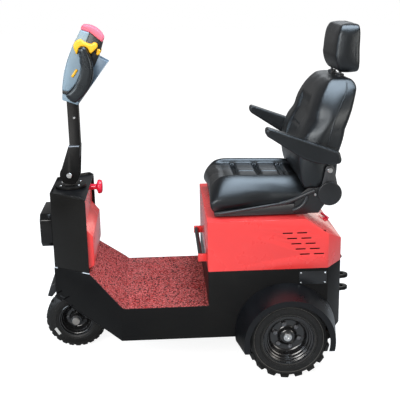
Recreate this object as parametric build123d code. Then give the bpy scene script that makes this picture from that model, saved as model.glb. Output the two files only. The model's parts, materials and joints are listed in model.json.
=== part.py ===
from build123d import *
import os
from math import atan2, cos, hypot, pi, sin

# Tow tractor with three wheels, a tiller and an armchair seat, in millimetres
# x runs forward, y to the vehicle's left, z up from the ground, origin under the middle of its length

# Lengths along the vehicle
hitch_reach = 82
box_length = 542
deck_length = 349
nose_length = 272
front_overhang = 65
front_wheel_radius = 130
rear_wheel_radius = 165
rear_axle_inset = 236
column_depth = 150
toe_run = 135

# Heights
ground_clearance = 145
deck_height = 282
seam_height = 426
column_seam_height = 406
column_height = 721
hood_height = 629
hood_rear_height = 520

# Widths
body_width = 600
column_front_width = 263
rear_corner_in = 88
rear_corner_back = 69

# Sheet and play
panel = 4
hood_sheet = 3
column_sheet = 3
column_inset = 2
mat_thickness = 8
seat_gap = 0.3
running_gap = 6

# Stations worked out from the lengths
overall_length = hitch_reach + box_length + deck_length + nose_length - front_overhang + front_wheel_radius
hitch_rear_x = -overall_length / 2
rear_x = hitch_rear_x + hitch_reach
box_front_x = rear_x + box_length
bend_x = box_front_x + deck_length
column_front_x = bend_x + nose_length
column_rear_x = column_front_x - column_depth
front_wheel_x = column_front_x - front_overhang
rear_wheel_x = rear_x + rear_axle_inset
toe_x = column_rear_x - toe_run
half = body_width / 2
nose_half = column_front_width / 2
taper = (half - nose_half) / nose_length
far = 2 * overall_length

nodes = {}


def prism_xz(points, y_low, y_high):
    outline = Polyline([(x, y_low, z) for x, z in points], close=True)
    return extrude(make_face(outline), amount=y_high - y_low, dir=(0, 1, 0))


def curved_xz(start, steps, y_low, y_high):
    # Each step is the next corner alone, or a point on the arc to it and then the corner
    edges = []
    corner = start
    for step in steps + [[start]]:
        if step[-1] != corner:
            points = [(x, y_low, z) for x, z in [corner] + step]
            edges.append(Line(*points) if len(points) == 2 else ThreePointArc(*points))
        corner = step[-1]
    return extrude(make_face(edges), amount=y_high - y_low, dir=(0, 1, 0))


def shifted(points, x, z):
    return [(x + along, z + up) for along, up in points]


def placed_outline(start, steps, x, z, y_low, y_high):
    moved = [shifted(step, x, z) for step in steps]
    return curved_xz(shifted([start], x, z)[0], moved, y_low, y_high)


def prism_xy(points, z_low, z_high):
    outline = Polyline([(x, y, z_low) for x, y in points], close=True)
    return extrude(make_face(outline), amount=z_high - z_low, dir=(0, 0, 1))


def block(x_low, x_high, y_low, y_high, z_low, z_high):
    middle = Pos((x_low + x_high) / 2, (y_low + y_high) / 2, (z_low + z_high) / 2)
    return middle * Box(x_high - x_low, y_high - y_low, z_high - z_low)


def rod_x(y, z, radius, x_low, x_high):
    return Pos((x_low + x_high) / 2, y, z) * Rot(0, 90, 0) * Cylinder(radius, x_high - x_low)


def rod_y(x, z, radius, y_low, y_high):
    return Pos(x, (y_low + y_high) / 2, z) * Rot(90, 0, 0) * Cylinder(radius, y_high - y_low)


def rod_z(x, y, radius, z_low, z_high):
    return Pos(x, y, (z_low + z_high) / 2) * Cylinder(radius, z_high - z_low)


def spin_y(points, x, z):
    # Turns an outline of (radius, y) points about the axle line through x, z
    face = make_face(Polyline([(radius, 0, y) for radius, y in points], close=True))
    return Pos(x, 0, z) * Rot(-90, 0, 0) * revolve(face, axis=Axis.Z)


def mirrored(shape):
    return mirror(shape, about=Plane.XZ)


def both_sides(name, left):
    nodes[name + "_left"] = left
    nodes[name + "_right"] = mirrored(left)


def nose_width(x):
    return half - max(0, x - bend_x) * taper


def body_points(inset):
    # Plan of the body, its rear corners cut and its nose tapered, drawn inset by a sheet's thickness
    corner_length = hypot(rear_corner_in, rear_corner_back)
    corner_shift = inset * (corner_length - rear_corner_back) / rear_corner_in
    side_shift = inset * (corner_length - rear_corner_in) / rear_corner_back
    nose_shift = inset * (hypot(1, taper) - 1) / taper
    left = [
        (rear_x + inset, half - rear_corner_in - corner_shift),
        (rear_x + rear_corner_back + side_shift, half - inset),
        (bend_x - nose_shift, half - inset),
        (column_front_x - inset, nose_half + taper * inset - hypot(1, taper) * inset),
    ]
    return left + [(x, -y) for x, y in reversed(left)]


def offset_line(points, drop):
    # Moves a line in side view down by a thickness, keeping its corners mitred
    moved = []
    for index, (x, z) in enumerate(points):
        angles = []
        if index > 0:
            angles.append(atan2(z - points[index - 1][1], x - points[index - 1][0]))
        if index < len(points) - 1:
            angles.append(atan2(points[index + 1][1] - z, points[index + 1][0] - x))
        lean = sum(angles) / len(angles)
        reach = drop / cos(angles[0] - lean)
        moved.append((x + reach * sin(lean), z - reach * cos(lean)))
    return moved


# Folded body sheet: side panels, rear panel and the lower nose
tail_cut = 20
tail_rise = 9
nose_step = (61, 31)
nose_tip_rise = 126
nose_tip_low = ground_clearance + nose_tip_rise
sheet_ring = prism_xy(body_points(0), 0, far) - prism_xy(body_points(panel), 0, far)
side_profile = [
    (rear_x, ground_clearance + tail_rise),
    (rear_x + tail_cut, ground_clearance),
    (bend_x, ground_clearance),
    (bend_x + nose_step[0], ground_clearance + nose_step[1]),
    (column_front_x, nose_tip_low),
    (column_front_x, column_seam_height),
    (column_rear_x, column_seam_height),
    (toe_x, deck_height),
    (box_front_x, deck_height),
    (box_front_x, seam_height),
    (rear_x, seam_height),
]
stub_radius = 12.5
axle_play = 13.5
fold_return = 12
nose_return = 18
rear_fold = half - rear_corner_in - fold_return
front_fold = nose_half - nose_return
nose_sheet_x = column_front_x - panel * 2
side_sheet = sheet_ring & prism_xz(side_profile, -half, half)
side_sheet -= rod_y(rear_wheel_x, rear_wheel_radius, stub_radius + axle_play, -far, far)
slot_lean = 27
nose_slot_height = 7
# Columns: back from the column's front, up from the nose's tip, length
nose_slots = [(28, 10, 24), (43, -12, 40), (55, -48, 16)]
for slot_back, slot_up, slot_run in nose_slots:
    slot = Pos(column_front_x - slot_back, half / 2, nose_tip_low + slot_up)
    slot = slot * Rot(0, -slot_lean, 0) * Box(slot_run, half, nose_slot_height)
    side_sheet -= slot
    side_sheet -= mirrored(slot)
side_left = side_sheet & block(-far, far, rear_fold, far, -far, far)
side_left += side_sheet & block(0, nose_sheet_x, 0, far, -far, far)
side_left += side_sheet & block(nose_sheet_x, far, front_fold, far, -far, far)
both_sides("side_panel", side_left)
nodes["rear_panel"] = side_sheet & block(-far, 0, -rear_fold, rear_fold, -far, far)
nodes["nose_panel"] = side_sheet & block(nose_sheet_x, far, -front_fold, front_fold, -far, far)
inside = prism_xy(body_points(panel), 0, far)
rail_top = deck_height - mat_thickness - panel
nodes["box_front_panel"] = inside & block(box_front_x - panel, box_front_x, -half, half, rail_top, seam_height)

# Floor plate with its toe board, and the mat on it
floor_line = [(box_front_x, deck_height), (toe_x, deck_height), (column_rear_x, column_seam_height)]
plate_top = offset_line(floor_line, mat_thickness)
plate_bottom = offset_line(floor_line, mat_thickness + panel)
nodes["deck_plate"] = inside & prism_xz(plate_top + plate_bottom[::-1], -half, half)
nodes["deck_mat"] = inside & prism_xz(floor_line + plate_top[::-1], -half, half)

# Ladder frame of channels below the deck and the box, with the battery tray hung in it
rail_width = 30
rail_height = 50
channel_wall = 4
tray_length = 206
tray_play = 10
tail_rail_in = 150
rail_bottom = rail_top - rail_height
rail_rear_x = rear_x + rear_corner_back + running_gap
rail_front_x = toe_x - running_gap
tray_front_x = box_front_x - panel - tray_play
tray_rear_x = tray_front_x - tray_length
tray_half = half - panel - rail_width
tray_floor = ground_clearance + running_gap
web_in = half - panel - channel_wall
tail_x = rear_x + panel + seat_gap
frame = block(rail_rear_x, rail_front_x, tray_half, half - panel, rail_bottom, rail_top)
frame -= block(rail_rear_x, rail_front_x, tray_half, web_in, rail_bottom + channel_wall, rail_top - channel_wall)
for cross_x in (tray_front_x + rail_width, rail_front_x - 2 * rail_width):
    cross = block(cross_x, cross_x + rail_width, 0, tray_half + channel_wall, rail_bottom, rail_top)
    cross -= block(cross_x + channel_wall, cross_x + rail_width, 0, tray_half + channel_wall,
                   rail_bottom + channel_wall, rail_top - channel_wall)
    frame += cross
frame += block(rail_rear_x, rail_rear_x + rail_width, tail_rail_in, tray_half + channel_wall, rail_bottom, rail_top)
frame += block(tail_x, rail_rear_x + rail_width, tail_rail_in, tail_rail_in + rail_width, rail_bottom, rail_top)
frame += block(tail_x, tail_x + rail_width, 0, tail_rail_in + rail_width, rail_bottom, rail_top)
frame += block(tray_rear_x, tray_front_x, tray_half - panel, tray_half + channel_wall, tray_floor, rail_top)
frame += block(tray_rear_x, tray_front_x, 0, tray_half, tray_floor, tray_floor + panel)
nodes["underframe"] = frame + mirrored(frame)

# Battery, one plain block on its tray
battery_play = 5
battery_side_gap = 8
battery_height = 250
battery_half = tray_half - panel - battery_side_gap
nodes["battery_block"] = block(
    tray_rear_x + battery_play, tray_front_x - battery_play, -battery_half, battery_half,
    tray_floor + panel, tray_floor + panel + battery_height,
)

# Rear drive axle: tube, differential, hangers under the rails and the two stub ends
rear_tyre_width = 89
stub_inset = 29
axle_tube_radius = 32
axle_end_gap = 12
differential_radius = 78
differential_half = 45
differential_neck = 52
neck_half = 70
hanger_half = 35
hanger_sheet = 24
rear_tyre_in = half + running_gap
rear_tyre_out = rear_tyre_in + rear_tyre_width
stub_end_y = rear_tyre_out - stub_inset
axle_z = rear_wheel_radius
tube_end = half - panel - axle_end_gap
hanger_in = tray_half + (rail_width - hanger_sheet) / 2
drive = rod_y(rear_wheel_x, axle_z, axle_tube_radius, -tube_end, tube_end)
drive += rod_y(rear_wheel_x, axle_z, differential_radius, -differential_half, differential_half)
drive += rod_y(rear_wheel_x, axle_z, differential_neck, -neck_half, neck_half)
drive += rod_y(rear_wheel_x, axle_z, stub_radius, -stub_end_y, stub_end_y)
hanger = block(rear_wheel_x - hanger_half, rear_wheel_x + hanger_half, hanger_in, hanger_in + hanger_sheet,
               axle_z, rail_bottom)
nodes["rear_axle"] = drive + hanger + mirrored(hanger)
motor_radius = 68
motor_length = 110
motor_rise = 20
motor_front_x = rear_wheel_x - differential_radius
nodes["drive_motor"] = rod_x(0, axle_z + motor_rise, motor_radius, motor_front_x - motor_length, motor_front_x)

# Tow hitch: a back plate and two flat jaws with one bore through both
hitch_height = 250
jaw_gap = 44
jaw_thickness = 12
jaw_width = 84
jaw_round = 30
hitch_bore = 22
hitch_plate = 10
hitch_plate_height = 120
hitch_plate_margin = 18
hitch_pin_x = hitch_rear_x + jaw_round
jaw_low = hitch_height - jaw_gap / 2 - jaw_thickness
jaw_high = hitch_height + jaw_gap / 2 + jaw_thickness
plate_half = jaw_width / 2 + hitch_plate_margin
jaws = prism_xy(
    [(rear_x - hitch_plate, -jaw_width / 2), (hitch_pin_x, -jaw_round), (hitch_pin_x, jaw_round),
     (rear_x - hitch_plate, jaw_width / 2)],
    jaw_low, jaw_high,
)
jaws += rod_z(hitch_pin_x, 0, jaw_round, jaw_low, jaw_high)
jaws -= block(-far, rear_x - hitch_plate, -far, far, jaw_low + jaw_thickness, jaw_high - jaw_thickness)
hitch = jaws + block(rear_x - hitch_plate, rear_x, -plate_half, plate_half,
                     hitch_height - hitch_plate_height / 2, hitch_height + hitch_plate_height / 2)
nodes["tow_hitch"] = hitch - rod_z(hitch_pin_x, 0, hitch_bore / 2, 0, far)

# Mudguards: tapered hoops on the body's sides with a turned-in lip
guard_root_radius = 203
guard_lip_radius = 179
guard_lip_depth = 22
guard_sheet = 3
guard_width = 128
guard_foot = 128
guard_out = half + guard_width
guard = spin_y(
    [(guard_root_radius, half), (guard_lip_radius, guard_out), (guard_lip_radius - guard_lip_depth, guard_out),
     (guard_lip_radius - guard_lip_depth, guard_out - guard_sheet),
     (guard_lip_radius - guard_sheet, guard_out - guard_sheet), (guard_root_radius - guard_sheet, half)],
    rear_wheel_x, axle_z,
)
both_sides("mudguard", guard - block(-far, far, -far, far, -far, guard_foot))

# Steering head: top plate, tube and lower plate inside the column
fork_rake = 8
head_tube_radius = 35
steer_shaft_radius = 25
top_plate_drop = 10
top_plate = 4
tyre_roof_gap = 13
fork_crown = 12
steer_x = front_wheel_x - fork_rake
top_plate_z = column_height - top_plate_drop
fork_crown_z = 2 * front_wheel_radius + tyre_roof_gap + fork_crown
column_outline = body_points(column_inset)
column_inner = body_points(column_inset + column_sheet)
head_inside = prism_xy(column_inner, 0, far) & block(column_rear_x, far, -far, far, 0, far)
toe_lean = atan2(column_seam_height - deck_height, toe_run)
lower_plate_x = column_rear_x + (mat_thickness + panel) * sin(toe_lean)
steering_head = head_inside & block(column_rear_x, far, -far, far, top_plate_z - top_plate, top_plate_z)
steering_head += inside & block(lower_plate_x, far, -far, far, column_seam_height - panel * 2,
                                column_seam_height - panel)
steering_head += rod_z(steer_x, 0, head_tube_radius, fork_crown_z + running_gap, top_plate_z)
nodes["steering_head"] = steering_head - rod_z(steer_x, 0, steer_shaft_radius + seat_gap, 0, far)

# Column shell, open to the rear, and its red rear cover with the kick box
corner_round = 24
column_shell = prism_xy(column_outline, column_seam_height, column_height)
column_shell -= prism_xy(column_inner, column_seam_height, column_height)
column_shell = column_shell & block(column_rear_x, far, -far, far, 0, far)
corner_tool = block(column_rear_x - 1, column_rear_x + corner_round, -far, far, column_height - corner_round, far)
corner_tool -= rod_y(column_rear_x + corner_round, column_height - corner_round, corner_round, -far, far)
nodes["column_shell"] = column_shell - corner_tool
cover_inset = 12
cover_sheet = 3
kick_height = 190
kick_depth = 32
kick_margin = 20
kick_foot = 12
kick_low_slope = 18
kick_high_slope = 40
cover_x = column_rear_x + cover_inset
cover_bottom = column_seam_height - panel
kick_top = cover_bottom + kick_height
cover = head_inside & block(cover_x, cover_x + cover_sheet, -far, far, cover_bottom, top_plate_z - top_plate)
kick_half = nose_width(cover_x) - kick_margin
kick_points = [(cover_x, cover_bottom + kick_foot), (cover_x - kick_depth, cover_bottom + kick_foot + kick_low_slope),
               (cover_x - kick_depth, kick_top - kick_high_slope), (cover_x, kick_top)]
nodes["column_cover"] = cover + prism_xz(kick_points, -kick_half, kick_half)

# Bevelled box on the column's front
front_box_reach = 49
front_box_half = 112
front_box_foot = 78
front_box_height = 140
front_box_bevel = 22
front_box_low = column_seam_height + front_box_foot
front_cover = block(column_front_x - column_inset, column_front_x + front_box_reach, -front_box_half,
                    front_box_half, front_box_low, front_box_low + front_box_height)
nodes["front_box"] = chamfer(front_cover.edges().filter_by(Axis.X), front_box_bevel)

# Bumper bar across the lower nose, its section given from the nose's tip
bumper_half = 118
bumper_section = [(0, 62), (22, 51), (38, 4), (20, 0), (0, 24)]
nodes["front_bumper"] = prism_xz(shifted(bumper_section, column_front_x, nose_tip_low), -bumper_half, bumper_half)

# Emergency stop knob on the column's rear cover
stop_y = -60
stop_drop = 31
stop_stem_radius = 15
stop_knob_radius = 30
stop_knob_thickness = 20
stop_reach = 52
stop_z = column_height - stop_drop
stop_end_x = cover_x - stop_reach
stop = rod_x(stop_y, stop_z, stop_stem_radius, stop_end_x, cover_x)
nodes["emergency_stop"] = stop + rod_x(stop_y, stop_z, stop_knob_radius, stop_end_x, stop_end_x + stop_knob_thickness)

# Steering fork: shaft, crown and one leg on the right that carries the wheel's axle
front_tyre_width = 85
leg_thickness = 10
leg_half = 24
crown_half = 45
front_stub_radius = 10
front_stub_reach = 15.5
front_half = front_tyre_width / 2
leg_inner_y = -(front_half + running_gap)
front_stub_end_y = front_half + front_stub_reach
fork = rod_z(steer_x, 0, steer_shaft_radius, fork_crown_z, top_plate_z + seat_gap)
fork += block(steer_x - leg_half, steer_x + leg_half, leg_inner_y - leg_thickness, crown_half,
              fork_crown_z - fork_crown, fork_crown_z)
leg_points = [(steer_x - leg_half, fork_crown_z), (steer_x + leg_half, fork_crown_z),
              (front_wheel_x + leg_half, front_wheel_radius), (front_wheel_x - leg_half, front_wheel_radius)]
fork += prism_xz(leg_points, leg_inner_y - leg_thickness, leg_inner_y)
fork += rod_y(front_wheel_x, front_wheel_radius, leg_half, leg_inner_y - leg_thickness, leg_inner_y)
fork += rod_y(front_wheel_x, front_wheel_radius, front_stub_radius, leg_inner_y, front_stub_end_y)
nodes["steering_fork"] = fork

# Steering disc with the lug that carries the tiller
disc_radius = 64
disc_thickness = 11.7
tiller_rise = 47
tiller_back = 2
tiller_pin_radius = 8
lug_half = 28
lug_radius = 24
disc_z = top_plate_z + seat_gap
disc_top = disc_z + disc_thickness
tiller_pivot_x = steer_x - tiller_back
tiller_pivot_z = disc_top + tiller_rise
disc = rod_z(steer_x, 0, disc_radius, disc_z, disc_top)
disc += block(tiller_pivot_x - lug_radius, tiller_pivot_x + lug_radius, -lug_half, lug_half, disc_top, tiller_pivot_z)
disc += rod_y(tiller_pivot_x, tiller_pivot_z, lug_radius, -lug_half, lug_half)
nodes["steering_disc"] = disc - rod_y(tiller_pivot_x, tiller_pivot_z, tiller_pin_radius + seat_gap, -far, far)


def tread_ring(x, z, radius, root, bore, lugs, share, turn, y_low, y_high):
    # One row of tread blocks with flat gaps between them, turned by a share of the pitch
    pitch = 2 * pi / lugs
    spread = pitch * share / 2
    tip = radius / cos(spread)
    outline = []
    for index in range(lugs):
        middle = (index + turn) * pitch
        for reach, angle in ((root, middle - spread), (tip, middle - spread),
                             (tip, middle + spread), (root, middle + spread)):
            outline.append((x + reach * cos(angle), z + reach * sin(angle)))
    ring = prism_xz(outline, y_low, y_high) & rod_y(x, z, radius, y_low, y_high)
    return ring - rod_y(x, z, bore, y_low, y_high)


def stepped_rim(x, z, seat, y_low, y_high, bead, steps, dish_y, sheet, hub, bore, hub_low, hub_high):
    # Each step is a radius and how far its face lies in from the tyre's outer side
    faces = [inset for reach, inset in steps] + [y_high - dish_y - sheet]
    outline = [(seat, y_low + bead), (seat, y_high - faces[0])]
    for index, (reach, inset) in enumerate(steps):
        outline += [(reach, y_high - inset), (reach, y_high - faces[index + 1])]
    outline += [(hub, dish_y + sheet), (hub, hub_high), (bore, hub_high), (bore, hub_low), (hub, hub_low)]
    outline += [(hub, dish_y), (seat - sheet, dish_y), (seat - sheet, y_low + bead)]
    return spin_y(outline, x, z)


# Rear wheels: a casing with a sloped outer shoulder, and two rows of lugs set half a pitch apart
rear_rim_radius = 98
rear_wall_radius = 138
rear_shoulder = 12
lug_depth = 9
lug_edge = 6
lugs = 18
lug_share = 0.6
rear_dish = 58
rear_hub_radius = 30
hub_nut_room = 4
lug_root = rear_wheel_radius - lug_depth
casing_radius = lug_root - 3
tyre_middle = (rear_tyre_in + rear_tyre_out) / 2
rear_tyre = spin_y(
    [(rear_rim_radius, rear_tyre_in), (casing_radius, rear_tyre_in), (casing_radius, rear_tyre_out - rear_shoulder),
     (rear_wall_radius, rear_tyre_out), (rear_rim_radius, rear_tyre_out)],
    rear_wheel_x, axle_z,
)
for turn, y_low, y_high in ((0, rear_tyre_in + lug_edge, tyre_middle), (0.5, tyre_middle, rear_tyre_out - lug_edge)):
    rear_tyre += tread_ring(rear_wheel_x, axle_z, rear_wheel_radius, lug_root, rear_wall_radius, lugs, lug_share,
                            turn, y_low, y_high)
both_sides("rear_tyre", rear_tyre)
# Columns: radius of the step, its face in from the tyre's outer side
rear_steps = [(90, 7), (83, 18), (74, 30)]
rear_rim = stepped_rim(
    rear_wheel_x, axle_z, rear_rim_radius, rear_tyre_in, rear_tyre_out, bead=7, steps=rear_steps,
    dish_y=rear_tyre_out - rear_dish, sheet=5, hub=rear_hub_radius, bore=stub_radius + seat_gap,
    hub_low=rear_tyre_in + hub_nut_room, hub_high=stub_end_y - hub_nut_room,
)
both_sides("rear_rim", rear_rim)

# Front wheel
front_rim_radius = 74
front_wall_radius = 108
front_shoulder = 20
front_hub_radius = 24
front_dish = 46.5
nodes["front_tyre"] = spin_y(
    [(front_rim_radius, -front_half), (front_wall_radius, -front_half),
     (front_wheel_radius, -front_half + front_shoulder), (front_wheel_radius, front_half - front_shoulder),
     (front_wall_radius, front_half), (front_rim_radius, front_half)],
    front_wheel_x, front_wheel_radius,
)
# Columns: radius of the step, its face in from the tyre's outer side
front_steps = [(66, 6), (57, 18)]
nodes["front_rim"] = stepped_rim(
    front_wheel_x, front_wheel_radius, front_rim_radius, -front_half, front_half, bead=6, steps=front_steps,
    dish_y=front_half - front_dish, sheet=6, hub=front_hub_radius, bore=front_stub_radius + seat_gap,
    hub_low=-front_half - running_gap / 3, hub_high=front_stub_end_y - 2 * hub_nut_room,
)

# Tiller: cranked bracket on the pivot pin and the hollow arm
cheek = 6
bracket_half = 40
bracket_round = 40
bracket_rise = 117
bracket_roof = 47
pin_out = 8
arm_width = 50
arm_depth = 44
arm_back = 49
arm_rise = 175
arm_wall = 3.5
arm_half = arm_width / 2
bracket_top_z = tiller_pivot_z + bracket_rise
arm_rear_x = tiller_pivot_x - arm_back
arm_front_x = arm_rear_x + arm_depth
bracket = prism_xz(
    [(tiller_pivot_x + bracket_round, tiller_pivot_z), (arm_front_x + arm_wall, bracket_top_z),
     (arm_rear_x, bracket_top_z), (tiller_pivot_x - bracket_round, tiller_pivot_z)],
    -bracket_half, bracket_half,
)
bracket += rod_y(tiller_pivot_x, tiller_pivot_z, bracket_round, -bracket_half, bracket_half)
bracket -= block(-far, far, -bracket_half + cheek, bracket_half - cheek, 0, bracket_top_z - bracket_roof)
bracket += rod_y(tiller_pivot_x, tiller_pivot_z, tiller_pin_radius, -bracket_half - pin_out, bracket_half + pin_out)

# Control head, its outlines given from the arm's middle and the foot of the head
head_x = (arm_rear_x + arm_front_x) / 2
head_z = bracket_top_z + arm_rise
base_front = (38, 14)
base_rear = (-24, -8)
base_slope = (base_front[1] - base_rear[1]) / (base_front[0] - base_rear[0])


def head_floor(x):
    return head_z + base_rear[1] + (x - head_x - base_rear[0]) * base_slope


def head_piece(start, steps, y_low, y_high):
    return placed_outline(start, steps, head_x, head_z, y_low, y_high)


arm = prism_xz(
    [(arm_rear_x, bracket_top_z), (arm_front_x, bracket_top_z), (arm_front_x, head_floor(arm_front_x)),
     (arm_rear_x, head_floor(arm_rear_x))],
    -arm_half, arm_half,
)
arm -= prism_xz(
    [(arm_rear_x + arm_wall, bracket_top_z + arm_wall), (arm_front_x - arm_wall, bracket_top_z + arm_wall),
     (arm_front_x - arm_wall, far), (arm_rear_x + arm_wall, far)],
    -arm_half + arm_wall, arm_half - arm_wall,
)
nodes["tiller_arm"] = bracket + arm
shell_half = 42
core_half = 33
console_half = 37
cap_half = 38
recess_half = 30
base_top_rear = (-36, 18)
base_top_front = (36, 40)
shell_foot = (35, 53)
shell_low = (9, 48)
shell_waist = (-46, 138)
shell_neck = (-46, 184)
shell_top_rear = (-86, 276)
shell_top_front = (-50, 288)
core_rear_low = (-39, 33)
core_rear_top = (-133, 236)
console_tip_front = (-115, 181)
console_tip_rear = (-153, 160)
console_foot = (-28, -2)
waist_arc = (-27, 88)
nodes["head_base"] = head_piece(base_rear, [[base_front], [base_top_front], [base_top_rear]], -core_half, core_half)
nodes["head_shell"] = head_piece(
    shell_foot, [[(7, 175), shell_top_front], [shell_top_rear], [shell_neck], [shell_waist], [waist_arc, shell_low]],
    -shell_half, shell_half,
)
nodes["head_block"] = head_piece(
    base_top_rear,
    [[base_top_front], [shell_foot], [shell_low], [waist_arc, shell_waist], [shell_neck], [shell_top_rear],
     [core_rear_top], [console_tip_front], [core_rear_low]],
    -core_half, core_half,
)
console = head_piece(
    console_tip_front, [[console_tip_rear], [console_foot], [base_rear], [base_top_rear], [core_rear_low]],
    -console_half, console_half,
)
nodes["head_console"] = console - head_piece(
    (-123, 183), [[(-150, 167)], [(-144, 156)], [(-116, 171)]], -recess_half, recess_half)
nodes["belly_button"] = head_piece(
    shell_top_front, [[(-56, 305)], [(-98, 298), (-139, 254)], [core_rear_top], [shell_top_rear]],
    -cap_half, cap_half,
)

# Hand grips: crescent bands held off the head by a stub at each end
grip_gap = 22
grip_band = 30
grip_in = shell_half + grip_gap
grip = head_piece(
    (-44, 214),
    [[(-61, 223), (-73, 210)], [(-92, 140), (-13, 11)], [(17, 42)], [(-48, 130), (-44, 214)]],
    grip_in, grip_in + grip_band,
)
grip += head_piece((-57, 206), [[(-73, 206)], [(-78, 186)], [(-49, 186)]], core_half, grip_in)
grip += head_piece((-8, 13), [[(12, 32)], [(-8, 42)], [(-26, 22)]], core_half, grip_in)
both_sides("hand_grip", grip)

# Thumb throttle on both sides of the head, and two small buttons on each side
throttle_depth = 34
button_rise = 3
wing = head_piece(
    (-34, 196),
    [[(-28, 212)], [(-33, 245), (-52, 252)], [(-72, 238), (-94, 232)], [(-110, 236), (-112, 220)], [(-88, 198)],
     [(-80, 214)], [(-60, 228), (-41, 215)]],
    shell_half, shell_half + throttle_depth,
)
side_button = head_piece((-111, 212), [[(-124, 208)], [(-119, 190)], [(-107, 190)]], core_half, shell_half)
flat_button = head_piece((-4, 108), [[(-25, 137)], [(-33, 133)], [(-12, 104)]], shell_half, shell_half + button_rise)
buttons = wing + side_button + flat_button
nodes["throttle"] = buttons + mirrored(buttons)

# Hood over the battery and drive, hollow, with rows of slots in its sides
hood_slope_run = 160
slot_length = 39
slot_height = 5
slot_pitch_x = 56
slot_step_x = 17
slot_step_z = 22
slot_drop = 55
slot_margin = 50
slot_columns = 2
slot_inset = 230
hood_low = seam_height + seat_gap
hood_body = prism_xy(body_points(0), 0, far) & prism_xz(
    [(box_front_x, hood_low), (box_front_x, hood_height), (rear_x + hood_slope_run, hood_height),
     (rear_x, hood_rear_height), (rear_x, hood_low)],
    -half, half,
)
hood_shell = offset(hood_body, amount=-hood_sheet, openings=hood_body.faces().sort_by(Axis.Z)[0])
slot_first_z = hood_height - slot_drop
slot_rows = 1 + int((slot_first_z - hood_low - slot_margin) / slot_step_z)
for row in range(slot_rows):
    for column in range(slot_columns):
        x = rear_x + slot_inset - column * slot_pitch_x - row * slot_step_x
        z = slot_first_z - row * slot_step_z
        hood_shell -= block(x - slot_length / 2, x + slot_length / 2, -far, far, z - slot_height / 2,
                            z + slot_height / 2)
nodes["hood"] = hood_shell
bar_half = 195
bar_radius = 8
bar_reach = 24
bar_rise = 26
ear_width = 14
ear_margin = 10
bar_z = seam_height + bar_rise
bar_x = box_front_x + bar_reach
ear = block(box_front_x, bar_x + ear_margin, bar_half - ear_width, bar_half, bar_z - 2 * ear_margin,
            bar_z + ear_margin)
nodes["lift_bar"] = rod_y(bar_x, bar_z, bar_radius, -bar_half, bar_half) + ear + mirrored(ear)

# Hood hinges on the rear face, each a fixed middle knuckle between two on the hood
hinge_radius = 7
hinge_pin_radius = 4
hinge_leaf = 3
hinge_leaf_height = 34
hinge_half = 45
knuckle_half = 15
hinge_y = 130
hinge_x = rear_x - hinge_radius
hinge_z = seam_height + seat_gap / 2
lower = rod_y(hinge_x, hinge_z, hinge_pin_radius, hinge_y - hinge_half, hinge_y + hinge_half)
lower += rod_y(hinge_x, hinge_z, hinge_radius, hinge_y - knuckle_half, hinge_y + knuckle_half)
lower += block(rear_x - hinge_leaf, rear_x, hinge_y - knuckle_half, hinge_y + knuckle_half,
               hinge_z - hinge_leaf_height, hinge_z)
nodes["hinge_lower"] = lower + mirrored(lower)
upper = rod_y(hinge_x, hinge_z, hinge_radius, hinge_y - hinge_half, hinge_y + hinge_half)
upper += block(rear_x - hinge_leaf, rear_x, hinge_y - hinge_half, hinge_y + hinge_half,
               hinge_z, hinge_z + hinge_leaf_height)
upper -= block(hinge_x - hinge_radius, rear_x, hinge_y - knuckle_half - seat_gap, hinge_y + knuckle_half + seat_gap,
               0, far)
upper -= rod_y(hinge_x, hinge_z, hinge_pin_radius + seat_gap, -far, far)
nodes["hinge_upper"] = upper + mirrored(upper)

# Seat rails on the hood, and the pan that slides on them
rail_y = 165
rail_strip = 36
rail_rise = 12
rail_front_in = 109
seat_rail_length = 260
pan_length = 366
pan_front_in = 31
pan_width = 496
pan_front_height = 16
pan_rear_height = 48
pan_wall = 10
rail_fore_x = box_front_x - rail_front_in
rails = block(rail_fore_x - seat_rail_length, rail_fore_x, rail_y - rail_strip / 2, rail_y + rail_strip / 2,
              hood_height, hood_height + rail_rise)
nodes["seat_rails"] = rails + mirrored(rails)
pan_half = pan_width / 2
pan_front_x = box_front_x - pan_front_in
pan_rear_x = pan_front_x - pan_length
pan_low = hood_height + running_gap
pan_roof = hood_height + rail_rise + seat_gap
trim_front = (pan_front_x, pan_low + pan_front_height)
trim_rear = (pan_rear_x, pan_low + pan_rear_height)
pan = prism_xz([(pan_front_x, pan_low), trim_front, trim_rear, (pan_rear_x, pan_low)], -pan_half, pan_half)
pan -= block(-far, pan_front_x - pan_wall, -pan_half + pan_wall, pan_half - pan_wall, 0, pan_roof)

# Recliner plates on the pan, and the round covers over them
recline_back = 449
recline_rise = 90
recline_disc = 44
recline_pin = 8
plate_sheet = 5
plate_front_in = 52
plate_rear_out = 42
plate_clear = 4
plate_shoulder = 16
cover_radius = 47
cover_depth = 11
recline_x = pan_front_x - recline_back
recline_z = hood_height + recline_rise
plate_in_y = pan_half
arm_in_y = plate_in_y + plate_sheet + seat_gap
cover_in_y = arm_in_y + plate_sheet + seat_gap
plate_front_x = pan_rear_x + plate_front_in
recliner = prism_xz(
    [(plate_front_x, pan_low + plate_clear), (plate_front_x, trim_rear[1] + plate_shoulder),
     (pan_rear_x, recline_z + recline_disc / 2), (recline_x, recline_z + recline_disc / 2),
     (recline_x, recline_z - recline_disc / 2), (pan_rear_x - plate_rear_out, pan_low + plate_clear)],
    plate_in_y, plate_in_y + plate_sheet,
)
recliner += rod_y(recline_x, recline_z, recline_disc, plate_in_y, plate_in_y + plate_sheet)
recliner += rod_y(recline_x, recline_z, recline_pin, plate_in_y, cover_in_y)
nodes["seat_pan"] = pan + recliner + mirrored(recliner)
both_sides("recliner_cover", rod_y(recline_x, recline_z, cover_radius, cover_in_y, cover_in_y + cover_depth))

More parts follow.
